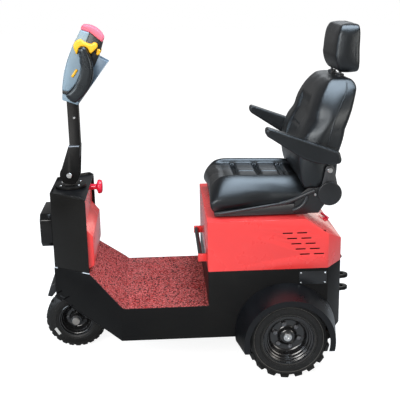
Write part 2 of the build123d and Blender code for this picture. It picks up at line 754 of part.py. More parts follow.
# Seat cushion on the pan, plain and closed
cushion_width = 472
cushion_round = 20
cushion_rear_gap = 4
cushion_crown = 132
cushion_rear_drop = 9
cushion_half = cushion_width / 2
cushion_top = hood_height + cushion_crown
cushion_rear_x = pan_rear_x + cushion_rear_gap
trim_slope = (pan_rear_height - pan_front_height) / pan_length
cushion = curved_xz(
    trim_front,
    [[(pan_front_x + 14, pan_low + 60), (pan_front_x - 30, cushion_top)],
     [(cushion_rear_x, cushion_top - cushion_rear_drop)],
     [(cushion_rear_x, trim_rear[1] - trim_slope * cushion_rear_gap)]],
    -cushion_half, cushion_half,
)
cushion_mould = block(-far, far, -cushion_half, cushion_half, hood_height, cushion_top)
mould_edges = cushion_mould.edges().filter_by(Axis.X).sort_by(Axis.Z)[-2:]
nodes["seat_cushion"] = cushion & fillet(mould_edges, cushion_round)

# Backrest, its outlines given from the recliner's pivot
back_width = 480
back_top_width = 300
back_height = 425
back_foot = 43
back_straight = 190
back_bow = (18, 105)
back_shoulder = 145
back_half = back_width / 2
back_top_half = back_top_width / 2
back_side = placed_outline(
    (71, back_foot),
    [[(101, 140), (56, back_height - back_shoulder)], [(15, back_height - 53), (-32, back_height)],
     [(-84, back_height)], [(-105, back_height - 20), (-103, back_height - 55)],
     [(-82, 240), (-54, 144)], [(-38, back_foot)]],
    recline_x, recline_z, -far, far,
)
corner_points = [(-back_half, back_foot), (-back_half, back_straight), (-back_top_half, back_height),
                 (back_top_half, back_height), (back_half, back_straight), (back_half, back_foot)]
corners = [(0, y, recline_z + up) for y, up in corner_points]
bow_y = back_half - back_bow[0]
bow_z = recline_z + back_height - back_bow[1]
back_edges = [
    Line(corners[0], corners[1]),
    ThreePointArc(corners[1], (0, -bow_y, bow_z), corners[2]),
    Line(corners[2], corners[3]),
    ThreePointArc(corners[3], (0, bow_y, bow_z), corners[4]),
    Line(corners[4], corners[5]),
    Line(corners[5], corners[0]),
]
back_front = Pos(-far, 0, 0) * extrude(make_face(back_edges), amount=2 * far, dir=(1, 0, 0))
nodes["backrest"] = back_side & back_front

# Recliner arms on the backrest's sides
arm_bolt_rise = 93
arm_foot_radius = 38
arm_eye_radius = 18
arm_boss_radius = 15
arm_bolt_z = recline_z + arm_bolt_rise
arm_out_y = arm_in_y + plate_sheet
arm_plate = prism_xz(
    [(recline_x - arm_foot_radius, recline_z), (recline_x + arm_foot_radius, recline_z),
     (recline_x + arm_eye_radius, arm_bolt_z), (recline_x - arm_eye_radius, arm_bolt_z)],
    arm_in_y, arm_out_y,
)
arm_plate += rod_y(recline_x, recline_z, arm_foot_radius, arm_in_y, arm_out_y)
arm_plate += rod_y(recline_x, arm_bolt_z, arm_eye_radius, arm_in_y, arm_out_y)
arm_plate += rod_y(recline_x, arm_bolt_z, arm_boss_radius, back_half + seat_gap, arm_in_y)
both_sides("recliner_arm", arm_plate - rod_y(recline_x, recline_z, recline_pin + seat_gap, 0, far))

# Headrest on its two posts
post_radius = 6
post_y = 75
post_back = 69
post_length = 32
headrest_back = 84.5
headrest_depth = 93
headrest_width = 250
headrest_height = 176
headrest_round = 30
post_x = recline_x - post_back
headrest_x = recline_x - headrest_back
back_top_z = recline_z + back_height
headrest_low = back_top_z + post_length
posts = rod_z(post_x, post_y, post_radius, back_top_z, headrest_low)
nodes["headrest_posts"] = posts + mirrored(posts)
headrest = block(headrest_x - headrest_depth / 2, headrest_x + headrest_depth / 2, -headrest_width / 2,
                 headrest_width / 2, headrest_low, headrest_low + headrest_height)
nodes["headrest"] = fillet(headrest.edges().filter_by(Axis.X), headrest_round)

# Armrests, each hung on a pin in the backrest's side
rest_back = 5
rest_rise = 149
rest_width = 52
rest_gap = 7
rest_pin = 8
rest_socket = 24
rest_pivot_x = recline_x - rest_back
rest_pivot_z = recline_z + rest_rise
rest_in_y = back_half + rest_gap
rest = placed_outline(
    (245, 116),
    [[(256, 113), (259, 103)], [(256, 90), (246, 82)], [(148, 20)], [(62, -17), (-14, -22)],
     [(-30, -14), (-29, 3)], [(-24, 22)]],
    rest_pivot_x, rest_pivot_z, rest_in_y, rest_in_y + rest_width,
)
both_sides("armrest", rest - rod_y(rest_pivot_x, rest_pivot_z, rest_pin + seat_gap, 0, rest_in_y + rest_socket))
both_sides("armrest_pin", rod_y(rest_pivot_x, rest_pivot_z, rest_pin, back_half + seat_gap,
                                rest_in_y + rest_socket - 1))

os.makedirs("parts", exist_ok=True)
for name, shape in nodes.items():
    shape.label = name
    export_step(shape, f"parts/{name}.step")
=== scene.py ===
import json
from math import cos, pi, radians, sin

import bpy
import numpy as np
from mathutils import Matrix, Vector

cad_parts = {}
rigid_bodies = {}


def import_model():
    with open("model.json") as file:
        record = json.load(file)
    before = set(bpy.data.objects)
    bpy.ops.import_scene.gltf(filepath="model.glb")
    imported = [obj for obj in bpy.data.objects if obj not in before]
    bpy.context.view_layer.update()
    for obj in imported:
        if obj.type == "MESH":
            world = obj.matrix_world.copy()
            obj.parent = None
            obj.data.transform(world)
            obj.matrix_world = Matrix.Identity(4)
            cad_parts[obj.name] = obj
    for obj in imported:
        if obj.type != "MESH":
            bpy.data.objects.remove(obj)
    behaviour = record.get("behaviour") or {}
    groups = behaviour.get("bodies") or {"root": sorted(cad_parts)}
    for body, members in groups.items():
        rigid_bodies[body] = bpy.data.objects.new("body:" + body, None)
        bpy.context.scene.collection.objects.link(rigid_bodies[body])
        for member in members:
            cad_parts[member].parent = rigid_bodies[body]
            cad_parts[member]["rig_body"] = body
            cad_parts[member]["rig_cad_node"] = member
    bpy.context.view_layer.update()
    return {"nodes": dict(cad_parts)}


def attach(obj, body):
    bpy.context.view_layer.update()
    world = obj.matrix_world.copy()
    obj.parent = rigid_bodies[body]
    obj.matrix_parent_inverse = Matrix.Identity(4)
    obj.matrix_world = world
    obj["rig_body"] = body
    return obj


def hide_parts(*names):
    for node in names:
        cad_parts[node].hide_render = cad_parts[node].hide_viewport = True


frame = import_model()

# Tow tractor with a tiller and an armchair seat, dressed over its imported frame
# Places are in millimetres, x forward, y to the left, z up, and turned to metres where a piece is made

print("frame loaded:", len(frame["nodes"]), "nodes")


# Plain modelling helpers
def clearSelection():
    if bpy.context.object and bpy.context.object.mode != "OBJECT":
        bpy.ops.object.mode_set(mode="OBJECT")
    bpy.ops.object.select_all(action="DESELECT")


def pick(*pieces):
    clearSelection()
    for piece in pieces:
        piece.select_set(True)
    bpy.context.view_layer.objects.active = pieces[0]


def editAll(piece):
    pick(piece)
    bpy.ops.object.mode_set(mode="EDIT")
    bpy.ops.mesh.select_all(action="SELECT")


def faceOutward():
    # Ends an edit, with all faces of the piece turned outward
    bpy.ops.mesh.select_all(action="SELECT")
    bpy.ops.mesh.normals_make_consistent(inside=False)
    bpy.ops.object.mode_set(mode="OBJECT")


def settle(piece, angle=35):
    pick(piece)
    bpy.ops.object.transform_apply(location=True, rotation=True, scale=True)
    if angle:
        bpy.ops.object.shade_smooth_by_angle(angle=radians(angle))
    return piece


def useModifier(piece, kind, **values):
    pick(piece)
    modifier = piece.modifiers.new(kind.title(), kind)
    for name, value in values.items():
        setattr(modifier, name, value)
    bpy.ops.object.modifier_apply(modifier=modifier.name)
    return piece


def roundEdges(piece, width, segments=2):
    return useModifier(
        piece, "BEVEL", width=width / 1000, segments=segments, limit_method="ANGLE",
        angle_limit=radians(30), use_clamp_overlap=False)


def joinPieces(name, pieces):
    pick(*pieces)
    bpy.ops.object.join()
    piece = bpy.context.object
    piece.name = name
    piece.data.name = name
    return piece


def addBlock(name, low, high, bevel=2):
    clearSelection()
    bpy.ops.mesh.primitive_cube_add(size=1, location=[(a + b) / 2000 for a, b in zip(low, high)])
    piece = bpy.context.object
    piece.name = name
    piece.scale = [(b - a) / 1000 for a, b in zip(low, high)]
    settle(piece, 0)
    if bevel:
        roundEdges(piece, bevel)
    return settle(piece)


def pullOutline(points):
    # One vertex is pulled round the outline, and stays in edit mode with all of it selected
    clearSelection()
    spots = [Vector(point) / 1000 for point in points]
    bpy.ops.mesh.primitive_plane_add(size=0.001, location=spots[0])
    bpy.ops.object.mode_set(mode="EDIT")
    bpy.ops.mesh.merge(type="CENTER")
    for here, there in zip(spots, spots[1:]):
        bpy.ops.mesh.extrude_region_move(TRANSFORM_OT_translate={"value": there - here})
    bpy.ops.mesh.select_all(action="SELECT")
    return bpy.context.object


def addPlate(name, outline, low, high, bevel):
    # A flat outline of (x, z) points, with its thickness along y
    piece = pullOutline([(x, low, z) for x, z in outline])
    bpy.ops.mesh.edge_face_add()
    offset = Vector((0, high - low, 0)) / 1000
    bpy.ops.mesh.extrude_region_move(TRANSFORM_OT_translate={"value": offset})
    faceOutward()
    piece.name = name
    settle(piece, 0)
    if bevel:
        roundEdges(piece, bevel)
    return settle(piece)


def turnPiece(name, profile, centre, axis, steps=64, angle=30):
    # profile holds (radius, place along the axis), turned about the line through centre
    spots = []
    for radius, along in profile:
        spot = {"x": (along, centre[1], centre[2] + radius), "y": (centre[0], along, centre[2] + radius),
                "z": (centre[0] + radius, centre[1], along)}
        spots.append(spot[axis])
    piece = pullOutline(spots)
    line = {"x": (1, 0, 0), "y": (0, 1, 0), "z": (0, 0, 1)}[axis]
    bpy.ops.mesh.spin(steps=steps, angle=2 * pi, center=[part / 1000 for part in centre], axis=line)
    bpy.ops.mesh.select_all(action="SELECT")
    bpy.ops.mesh.remove_doubles(threshold=0.00002)
    faceOutward()
    piece.name = name
    return settle(piece, angle)


def addTube(name, route, radius, smooth=True):
    # A rod or piping that follows a route of points
    curve = bpy.data.curves.new(name, "CURVE")
    curve.dimensions = "3D"
    curve.bevel_depth = radius / 1000
    curve.bevel_resolution = 3
    curve.use_fill_caps = True
    spline = curve.splines.new("NURBS" if smooth else "POLY")
    spline.points.add(len(route) - 1)
    for point, place in zip(spline.points, route):
        point.co = [part / 1000 for part in place] + [1]
    if smooth:
        spline.order_u = 3
        spline.use_endpoint_u = True
        spline.resolution_u = 6
    piece = bpy.data.objects.new(name, curve)
    bpy.context.scene.collection.objects.link(piece)
    pick(piece)
    bpy.ops.object.convert(target="MESH")
    return settle(bpy.context.object, 50)


def mirrorCopy(piece, name):
    pick(piece)
    bpy.ops.object.duplicate()
    twin = bpy.context.object
    twin.name = name
    twin.scale = (1, -1, 1)
    bpy.ops.object.transform_apply(location=False, rotation=False, scale=True)
    bpy.ops.object.mode_set(mode="EDIT")
    faceOutward()
    return twin


def copyNode(node, name):
    # The frame's loose triangles become one closed mesh with flat faces
    pick(frame["nodes"][node])
    bpy.ops.object.duplicate()
    piece = bpy.context.object
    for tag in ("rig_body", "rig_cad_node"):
        del piece[tag]
    piece.parent = None
    piece.name = name
    piece.modifiers.clear()
    editAll(piece)
    bpy.ops.mesh.remove_doubles(threshold=0.00001)
    bpy.ops.mesh.dissolve_limited(angle_limit=radians(0.6))
    bpy.ops.object.mode_set(mode="OBJECT")
    return piece


def give(piece, body, finish, slotName, *nodes):
    # The finish in the piece's one material slot, its body, and the nodes it stands for
    piece.data.materials.clear()
    piece.data.materials.append(finishes[finish])
    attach(piece, body)
    if nodes:
        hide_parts(*nodes)
    return piece


def givePair(piece, body, finish, slotName):
    # A piece of the left side, and its mirrored twin on the right
    give(piece, body, finish, slotName)
    give(mirrorCopy(piece, piece.name + "Right"), body, finish, slotName)


def dressNode(node, name, bevel, body, finish, slotName, segments=2):
    # The node's own mesh with rounded edges, in place of the node
    piece = copyNode(node, name)
    if bevel:
        roundEdges(piece, bevel, segments)
    give(settle(piece, 38), body, finish, slotName, node)


def keepNode(node, finish):
    for slot in frame["nodes"][node].material_slots:
        slot.material = finishes[finish]


# Shared shader groups
def newGroup(name, inputs, outputs):
    group = bpy.data.node_groups.new(name, "ShaderNodeTree")
    for label, value in inputs.items():
        socket = group.interface.new_socket(label, in_out="INPUT", socket_type="NodeSocketFloat")
        socket.default_value = value
    for label in outputs:
        group.interface.new_socket(label, in_out="OUTPUT", socket_type="NodeSocketFloat")
    return group, group.nodes.new("NodeGroupInput").outputs, group.nodes.new("NodeGroupOutput")


def wire(tree, node, sockets):
    # Each named socket gets a link or a plain value
    for name, value in sockets.items():
        if isinstance(value, bpy.types.NodeSocket):
            tree.links.new(value, node.inputs[name])
        else:
            node.inputs[name].default_value = value
    return node


def addNode(tree, kind, sockets=None, **values):
    node = tree.nodes.new("ShaderNode" + kind)
    for name, value in values.items():
        setattr(node, name, value)
    return wire(tree, node, sockets or {})


def ownPlace(tree):
    # The place in the piece's own space
    return addNode(tree, "TexCoord").outputs["Object"]


def addMath(tree, operation, *values):
    return addNode(tree, "Math", dict(enumerate(values)), operation=operation).outputs["Value"]


def addRange(tree, value, start, end, low=0.0, high=1.0):
    sockets = {"Value": value, "From Min": start, "From Max": end, "To Min": low, "To Max": high}
    return addNode(tree, "MapRange", sockets).outputs["Result"]


def addNoise(tree, scale, detail, **more):
    sockets = {"Vector": ownPlace(tree), "Scale": scale, "Detail": detail, **more}
    return addNode(tree, "TexNoise", sockets).outputs["Fac"]


def addCells(tree, scale, feature):
    return addNode(tree, "TexVoronoi", {"Vector": ownPlace(tree), "Scale": scale}, feature=feature).outputs


def leaveWith(group, leave, **results):
    for label, socket in results.items():
        group.links.new(socket, leave.inputs[label])
    return group


def surfaceGroup():
    # Soft patches for tint and gloss, small specks, and dust that lies on upward faces
    group, enter, leave = newGroup(
        "softSurface", {"Patch Scale": 6.0, "Speck Scale": 220.0}, ["Patches", "Specks", "Dust"])
    patches = addRange(group, addNoise(group, enter["Patch Scale"], 5.0, Roughness=0.6), 0.32, 0.68)
    specks = addRange(group, addNoise(group, enter["Speck Scale"], 2.0), 0.6, 0.75)
    facing = addNode(group, "SeparateXYZ", {"Vector": addNode(group, "NewGeometry").outputs["Normal"]})
    dust = addMath(group, "MULTIPLY", addRange(group, facing.outputs["Z"], 0.3, 1.0), patches)
    return leaveWith(group, leave, Patches=patches, Specks=specks, Dust=dust)


def peelGroup():
    # Height of sprayed paint or moulded plastic: a soft peel with a finer tooth on it
    group, enter, leave = newGroup("sprayPeel", {"Scale": 300.0, "Tooth": 0.3}, ["Height"])
    peel = addNoise(group, enter["Scale"], 1.0)
    tooth = addNoise(group, addMath(group, "MULTIPLY", enter["Scale"], 4.5), 0.0)
    return leaveWith(group, leave, Height=addMath(group, "MULTIPLY_ADD", tooth, enter["Tooth"], peel))


def grainGroup():
    # Leather grain: pebbled cells with fine creases between them and slow wrinkles
    group, enter, leave = newGroup(
        "leatherGrain", {"Cell Scale": 700.0, "Wrinkle Scale": 28.0, "Wrinkle Share": 1.5},
        ["Height", "Creases"])
    cells = addCells(group, enter["Cell Scale"], "DISTANCE_TO_EDGE")
    pebbles = addRange(group, cells["Distance"], 0.0, 0.25)
    wrinkles = addNoise(group, enter["Wrinkle Scale"], 3.0, Distortion=0.6)
    height = addMath(group, "MULTIPLY_ADD", wrinkles, enter["Wrinkle Share"], pebbles)
    return leaveWith(group, leave, Height=height, Creases=pebbles)


def gritGroup():
    # Coarse looped grit: round grains of two tones with dark gaps between them
    group, enter, leave = newGroup("loopedGrit", {"Grain Scale": 210.0}, ["Tone", "Gap", "Height"])
    grains = addCells(group, enter["Grain Scale"], "F1")
    tone = addNode(group, "SeparateColor", {"Color": grains["Color"]}).outputs["Red"]
    gap = addRange(group, grains["Distance"], 0.35, 0.75)
    return leaveWith(
        group, leave, Tone=tone, Gap=gap, Height=addRange(group, grains["Distance"], 0.0, 0.8, 1.0, 0.0))


groups = {"surface": surfaceGroup(), "peel": peelGroup(), "grain": grainGroup(), "grit": gritGroup()}


def placeGroup(tree, key, **values):
    node = tree.nodes.new("ShaderNodeGroup")
    node.node_tree = groups[key]
    for label, value in values.items():
        node.inputs[label.replace("_", " ")].default_value = value
    return node.outputs


def mixColour(tree, factor, *colours):
    # The mixing node takes its colours at places 6 and 7, counted from nought
    sockets = {"Factor": factor}
    for place, colour in zip((6, 7), colours):
        sockets[place] = (*colour, 1) if isinstance(colour, tuple) else colour
    return addNode(tree, "Mix", sockets, data_type="RGBA").outputs[2]


# A bluish tint of a finish's reflections is painted light, standing for bluish lamps
plainLook = dict(metallic=0.0, coat=0.0, coatRough=0.1, specular=0.5, paintedLightTint=(1, 1, 1), strength=1.0)


def startFinish(name, own):
    settings = {**plainLook, **own}
    material = bpy.data.materials.new(name)
    material.use_nodes = True
    tree = material.node_tree
    shader = wire(tree, tree.nodes["Principled BSDF"], {
        "Metallic": settings["metallic"], "Coat Weight": settings["coat"],
        "Coat Roughness": settings["coatRough"], "Specular IOR Level": settings["specular"],
        "Specular Tint": (*settings["paintedLightTint"], 1)})
    return material, tree, shader, settings


def endFinish(tree, shader, surface, colour, height, settings):
    # Dust over the colour where the surface faces up, gloss in patches, and relief
    share = addMath(tree, "MULTIPLY", surface["Dust"], settings["dust"])
    relief = {"Height": height, "Strength": settings["strength"], "Distance": settings["relief"] / 1000}
    wire(tree, shader, {
        "Base Color": mixColour(tree, share, colour, settings["dustColour"]),
        "Roughness": addRange(tree, surface["Patches"], 0.0, 1.0, *settings["rough"]),
        "Normal": addNode(tree, "Bump", relief).outputs["Normal"]})


def sprayedFinish(name, own):
    # Paint, enamel, plastic, rubber and bare metal differ only in their settings
    material, tree, shader, settings = startFinish(name, own)
    surface = placeGroup(
        tree, "surface", Patch_Scale=settings["patchScale"], Speck_Scale=settings["speckScale"])
    body = mixColour(tree, surface["Patches"], settings["colour"], settings["shade"])
    share = addMath(tree, "MULTIPLY", surface["Specks"], settings["specks"])
    speckled = mixColour(tree, share, body, settings["speckColour"])
    peel = placeGroup(tree, "peel", Scale=settings["peelScale"], Tooth=settings["tooth"])
    endFinish(tree, shader, surface, speckled, peel["Height"], settings)
    return material


def leatherFinish(name, own):
    material, tree, shader, settings = startFinish(name, own)
    surface = placeGroup(tree, "surface", Patch_Scale=9.0, Speck_Scale=300.0)
    grain = placeGroup(
        tree, "grain", Cell_Scale=settings["cellScale"], Wrinkle_Scale=settings["wrinkleScale"],
        Wrinkle_Share=settings["wrinkleShare"])
    body = mixColour(tree, grain["Creases"], settings["crease"], settings["colour"])
    endFinish(tree, shader, surface, body, grain["Height"], settings)
    return material


def gritFinish(name, own):
    material, tree, shader, settings = startFinish(name, own)
    grit = placeGroup(tree, "grit", Grain_Scale=settings["grainScale"])
    surface = placeGroup(tree, "surface", Patch_Scale=7.0, Speck_Scale=260.0)
    tone = mixColour(tree, grit["Tone"], settings["dark"], settings["light"])
    gapped = mixColour(tree, grit["Gap"], tone, settings["gap"])
    endFinish(tree, shader, surface, gapped, grit["Height"], settings)
    return material


grey = (0.35, 0.34, 0.32)
plainSpray = dict(
    patchScale=5.0, speckScale=240.0, specks=0.0, speckColour=grey, dust=0.05, dustColour=grey,
    peelScale=320.0, tooth=0.3, relief=0.12, rough=(0.3, 0.42))
sprayed = {
    "redPaint": dict(
        colour=(0.78, 0.047, 0.046), shade=(0.74, 0.043, 0.042), rough=(0.24, 0.32), coat=0.3, dust=0.0),
    "blackPaint": dict(
        colour=(0.0045, 0.0045, 0.0048), shade=(0.0060, 0.0058, 0.0055), rough=(0.30, 0.40), dust=0.01,
        specular=0.13),
    "columnPaint": dict(
        colour=(0.0055, 0.0050, 0.0044), shade=(0.0072, 0.0065, 0.0056), rough=(0.20, 0.28), dust=0.01,
        specular=0.25),
    "guardPlastic": dict(
        colour=(0.0030, 0.0034, 0.0044), shade=(0.0045, 0.0050, 0.0062), rough=(0.26, 0.32),
        peelScale=120.0, relief=0.03, dust=0.01, specular=0.30),
    "framePaint": dict(
        colour=(0.012, 0.012, 0.012), shade=(0.02, 0.019, 0.018), rough=(0.5, 0.65), dust=0.15),
    "rimEnamel": dict(
        colour=(0.007, 0.007, 0.0075), shade=(0.009, 0.009, 0.0095), rough=(0.16, 0.24), coat=0.5, dust=0.02),
    "tyreRubber": dict(
        colour=(0.0070, 0.0070, 0.0069), shade=(0.0105, 0.0104, 0.0100), rough=(0.34, 0.46), specks=0.1,
        dust=0.03, peelScale=500.0, relief=0.12, specular=0.30),
    # The grip's bluish reflections are a painted tint of light
    "gripRubber": dict(
        colour=(0.0065, 0.0065, 0.007), shade=(0.0085, 0.0085, 0.009), rough=(0.26, 0.34), peelScale=600.0,
        relief=0.05, dust=0.0, specular=0.6, paintedLightTint=(0.8, 0.92, 1.0)),
    "blackPlastic": dict(
        colour=(0.0075, 0.0085, 0.0100), shade=(0.0100, 0.0110, 0.0130), rough=(0.26, 0.36),
        peelScale=700.0, relief=0.08, dust=0.02),
    "shellPlastic": dict(
        colour=(0.24, 0.335, 0.41), shade=(0.22, 0.31, 0.38), rough=(0.42, 0.52), peelScale=900.0,
        relief=0.06),
    # The shell's plastic made darker as painted shade, for the console
    "shellPlasticPaintedShade": dict(
        colour=(0.13, 0.185, 0.245), shade=(0.118, 0.168, 0.225), rough=(0.42, 0.52), peelScale=900.0,
        relief=0.06),
    "yellowPlastic": dict(
        colour=(0.90, 0.50, 0.012), shade=(0.86, 0.43, 0.010), rough=(0.28, 0.38), peelScale=800.0,
        relief=0.05),
    "pinkCap": dict(
        colour=(0.78, 0.155, 0.235), shade=(0.74, 0.14, 0.21), rough=(0.45, 0.6), peelScale=700.0,
        relief=0.06),
    "redKnob": dict(
        colour=(0.72, 0.012, 0.045), shade=(0.66, 0.01, 0.04), rough=(0.2, 0.28), coat=0.3, relief=0.03),
    "zincPlate": dict(
        colour=(0.74, 0.74, 0.73), shade=(0.6, 0.6, 0.6), rough=(0.22, 0.36), metallic=1.0, peelScale=900.0,
        relief=0.04, dust=0.0),
    "darkSteel": dict(
        colour=(0.10, 0.105, 0.11), shade=(0.07, 0.07, 0.075), rough=(0.38, 0.5), metallic=1.0, relief=0.05),
    "blackSteel": dict(
        colour=(0.016, 0.018, 0.020), shade=(0.021, 0.023, 0.026), rough=(0.26, 0.36), dust=0.02),
    # Near-black of painted shade, behind the hood's slots and in the nose's slots
    "paintedShadeBlack": dict(
        colour=(0.0012, 0.0012, 0.0013), shade=(0.0018, 0.0018, 0.0019), rough=(0.4, 0.5), dust=0.0,
        specular=0.03),
    # Pale colour of painted highlights and glints on edges and seams
    "paintedHighlightWhite": dict(colour=(0.62, 0.68, 0.74), shade=(0.56, 0.62, 0.68), rough=(0.35, 0.45), dust=0.0),
    "castMetal": dict(
        colour=(0.045, 0.045, 0.048), shade=(0.03, 0.03, 0.032), rough=(0.55, 0.7), peelScale=420.0,
        relief=0.3, dust=0.15),
    "dullSteel": dict(
        colour=(0.44, 0.42, 0.39), shade=(0.34, 0.32, 0.30), rough=(0.35, 0.5), metallic=1.0,
        peelScale=700.0, relief=0.08, dust=0.1),
    "nutSteel": dict(
        colour=(0.22, 0.22, 0.23), shade=(0.17, 0.17, 0.18), rough=(0.25, 0.35), metallic=1.0, relief=0.04,
        dust=0.0),
    # Paler rubber of the mould rings, a painted highlight on their ridges
    "ringRubberPaintedHighlight": dict(
        colour=(0.10, 0.094, 0.085), shade=(0.075, 0.071, 0.064), rough=(0.35, 0.45), relief=0.05),
    # Colour of the painted highlight on the bracket's top edge
    "paintedEdgeHighlight": dict(colour=(0.30, 0.33, 0.38), shade=(0.24, 0.27, 0.31), rough=(0.3, 0.4), dust=0.0),
    "boxPaint": dict(
        colour=(0.0050, 0.0050, 0.0052), shade=(0.0062, 0.0062, 0.0064), rough=(0.14, 0.2), dust=0.01,
        specular=0.3),
    "barePlate": dict(colour=(0.62, 0.62, 0.60), shade=(0.55, 0.55, 0.54), rough=(0.4, 0.5), relief=0.02),
}
finishes = {}
for finishName, own in sprayed.items():
    finishes[finishName] = sprayedFinish(finishName, {**plainSpray, **own})
# The leather's bluish reflections are a painted tint of light
leatherLook = dict(
    colour=(0.0042, 0.0046, 0.0054), crease=(0.003, 0.003, 0.0034), rough=(0.28, 0.36), coat=0.2,
    coatRough=0.3, paintedLightTint=(0.84, 0.93, 1.0), cellScale=900.0, wrinkleScale=14.0, wrinkleShare=0.5,
    relief=0.09, strength=0.7, dust=0.0, dustColour=(0.3, 0.3, 0.29))
gritLook = dict(
    dark=(0.36, 0.012, 0.013), light=(0.64, 0.16, 0.15), gap=(0.035, 0.003, 0.003), grainScale=170.0,
    rough=(0.85, 0.85), specular=0.15, relief=1.4, dust=0.07, dustColour=(0.55, 0.40, 0.36))
finishes["seatLeather"] = leatherFinish("seatLeather", leatherLook)
finishes["matGrit"] = gritFinish("matGrit", gritLook)
print("finishes made:", len(finishes))

# Camera, as the photo was taken
cameraPlace = dict(spot=(134.4, 3238.0, 1550.0), yaw=-0.047, pitch=0.275, roll=-0.019, lens=72.09)


def placeCamera(settings):
    yaw, pitch, roll = settings["yaw"], settings["pitch"], settings["roll"]
    level = Vector((sin(yaw), -cos(yaw), 0))
    right = Vector((-cos(yaw), -sin(yaw), 0))
    ahead = level * cos(pitch) - Vector((0, 0, 1)) * sin(pitch)
    above = Vector((0, 0, 1)) * cos(pitch) + level * sin(pitch)
    side = right * cos(roll) + above * sin(roll)
    top = above * cos(roll) - right * sin(roll)
    bpy.ops.object.camera_add()
    camera = bpy.context.object
    camera.matrix_world = Matrix.Translation(Vector(settings["spot"]) / 1000) @ Matrix(
        (side, top, -ahead)).transposed().to_4x4()
    camera.data.lens = settings["lens"]
    camera.data.sensor_width = 36
    camera.data.clip_end = 60
    bpy.context.scene.camera = camera


placeCamera(cameraPlace)

# Chassis: folded sheets, deck, column and what hangs below
bodySheets = [
    ("side_panel_left", "sidePanelLeft", "blackPaint", "black_paint", 1.6),
    ("side_panel_right", "sidePanelRight", "blackPaint", "black_paint", 1.6),
    ("rear_panel", "rearPanel", "blackPaint", "black_paint", 1.2),
    ("nose_panel", "nosePanel", "blackPaint", "black_paint", 1.2),
    ("box_front_panel", "boxFrontPanel", "blackPaint", "black_paint", 1.0),
    ("column_shell", "columnShell", "columnPaint", "black_paint", 1.2),
    ("column_cover", "columnCover", "redPaint", "red_paint", 2.0),
    ("front_box", "frontBox", "boxPaint", "black_paint", 4.0),
    ("front_bumper", "frontBumper", "blackPlastic", "black_rubber", 3.0),
    ("tow_hitch", "towHitch", "blackPaint", "black_paint", 1.5),
    ("mudguard_left", "mudguardLeft", "guardPlastic", "black_plastic", 0),
    ("mudguard_right", "mudguardRight", "guardPlastic", "black_plastic", 0),
]
for node, name, finish, slotName, bevel in bodySheets:
    dressNode(node, name, bevel, "chassis", finish, slotName)
for node in ("deck_plate", "underframe", "hinge_lower", "battery_block"):
    keepNode(node, "framePaint")
keepNode("steering_head", "guardPlastic")
for node in ("rear_axle", "drive_motor", "steering_fork"):
    keepNode(node, "castMetal")
keepNode("deck_mat", "matGrit")
print("chassis dressed")

# Wheels, the left rear one modelled and mirrored, and the front one
rearWheel = dict(
    centre=(-337, 0, 165), inner=306, outer=395, radius=165, lugs=18, halfWidth=17, narrow=0.86, bevel=1.6,
    nut=dict(radius=9.5, length=8, studRadius=5, studLength=13), nuts=6, nutRing=49, nutDepth=53, nutTurn=14)
frontWheel = dict(
    centre=(525, 0, 130), half=42.5, radius=130, lugs=26, halfWidth=11.5, narrow=0.86, bevel=1.4,
    nut=dict(radius=9, length=7, studRadius=5, studLength=12), nuts=5, nutRing=38, nutDepth=40.5, nutTurn=22)


def addPin(name, foot, axis, radius, length, edge=1, steps=24):
    # Round head or rod that starts at the foot and runs along its axis
    start = foot["xyz".index(axis)]
    profile = [(0, start), (radius, start), (radius, start + length - edge), (radius - edge, start + length),
               (0, start + length)]
    return turnPiece(name, profile, foot, axis, steps, 40)


def addNut(name, centre, radius, length, studRadius, studLength):
    # Hexagon nut on a short stud, its axis along y and its foot at the centre
    x, y, z = centre
    clearSelection()
    bpy.ops.mesh.primitive_cylinder_add(
        vertices=6, radius=radius / 1000, depth=length / 1000, rotation=(pi / 2, 0, 0),
        location=(x / 1000, (y + length / 2) / 1000, z / 1000))
    nut = roundEdges(settle(bpy.context.object, 0), radius * 0.12)
    stud = addPin("stud", centre, "y", studRadius, studLength, steps=16)
    return settle(joinPieces(name, [nut, stud]), 30)


def ringOf(piece, centre, count):
    # Copies of a piece set round a line along y
    editAll(piece)
    bpy.ops.mesh.spin(
        steps=count - 1, dupli=True, angle=2 * pi * (count - 1) / count,
        center=[part / 1000 for part in centre], axis=(0, 1, 0))
    bpy.ops.object.mode_set(mode="OBJECT")
    return piece


def turnAbout(piece, centre, degrees):
    # Turned about a line along y, in the piece's own mesh
    turn = Matrix.Rotation(radians(degrees), 4, "Y")
    middle = Matrix.Translation(Vector(centre) / 1000)
    piece.data.transform(middle @ turn @ middle.inverted())
    return piece


def wheelNuts(wheel, face):
    # The nuts on their ring, at their depth under the tyre's outer face
    x, z = wheel["centre"][::2]
    nut = addNut("nut", (x, face - wheel["nutDepth"], z + wheel["nutRing"]), **wheel["nut"])
    turnAbout(nut, wheel["centre"], wheel["nutTurn"])
    return ringOf(nut, wheel["centre"], wheel["nuts"])


def treadRow(name, wheel, low, high, root, turn, slope):
    # One lug, its top a little narrower and its outer end sloped, then set round the tyre
    x, z = wheel["centre"][::2]
    halfWidth, narrow = wheel["halfWidth"], wheel["narrow"]
    top = (wheel["radius"] ** 2 - (halfWidth * narrow) ** 2) ** 0.5
    middle = Vector((x, (low + high) / 2, z + (root + top) / 2)) / 1000
    clearSelection()
    bpy.ops.mesh.primitive_cube_add(size=1, location=middle)
    lug = bpy.context.object
    lug.scale = (2 * halfWidth / 1000, (high - low) / 1000, (top - root) / 1000)
    settle(lug, 0)
    for vertex in lug.data.vertices:
        if vertex.co.z > middle.z:
            vertex.co.x = middle.x + (vertex.co.x - middle.x) * narrow
            if slope * (vertex.co.y - middle.y) > 0:
                vertex.co.y -= slope / 1000
    roundEdges(lug, wheel["bevel"])
    turnAbout(lug, wheel["centre"], turn)
    lug.name = name
    return ringOf(lug, wheel["centre"], wheel["lugs"])


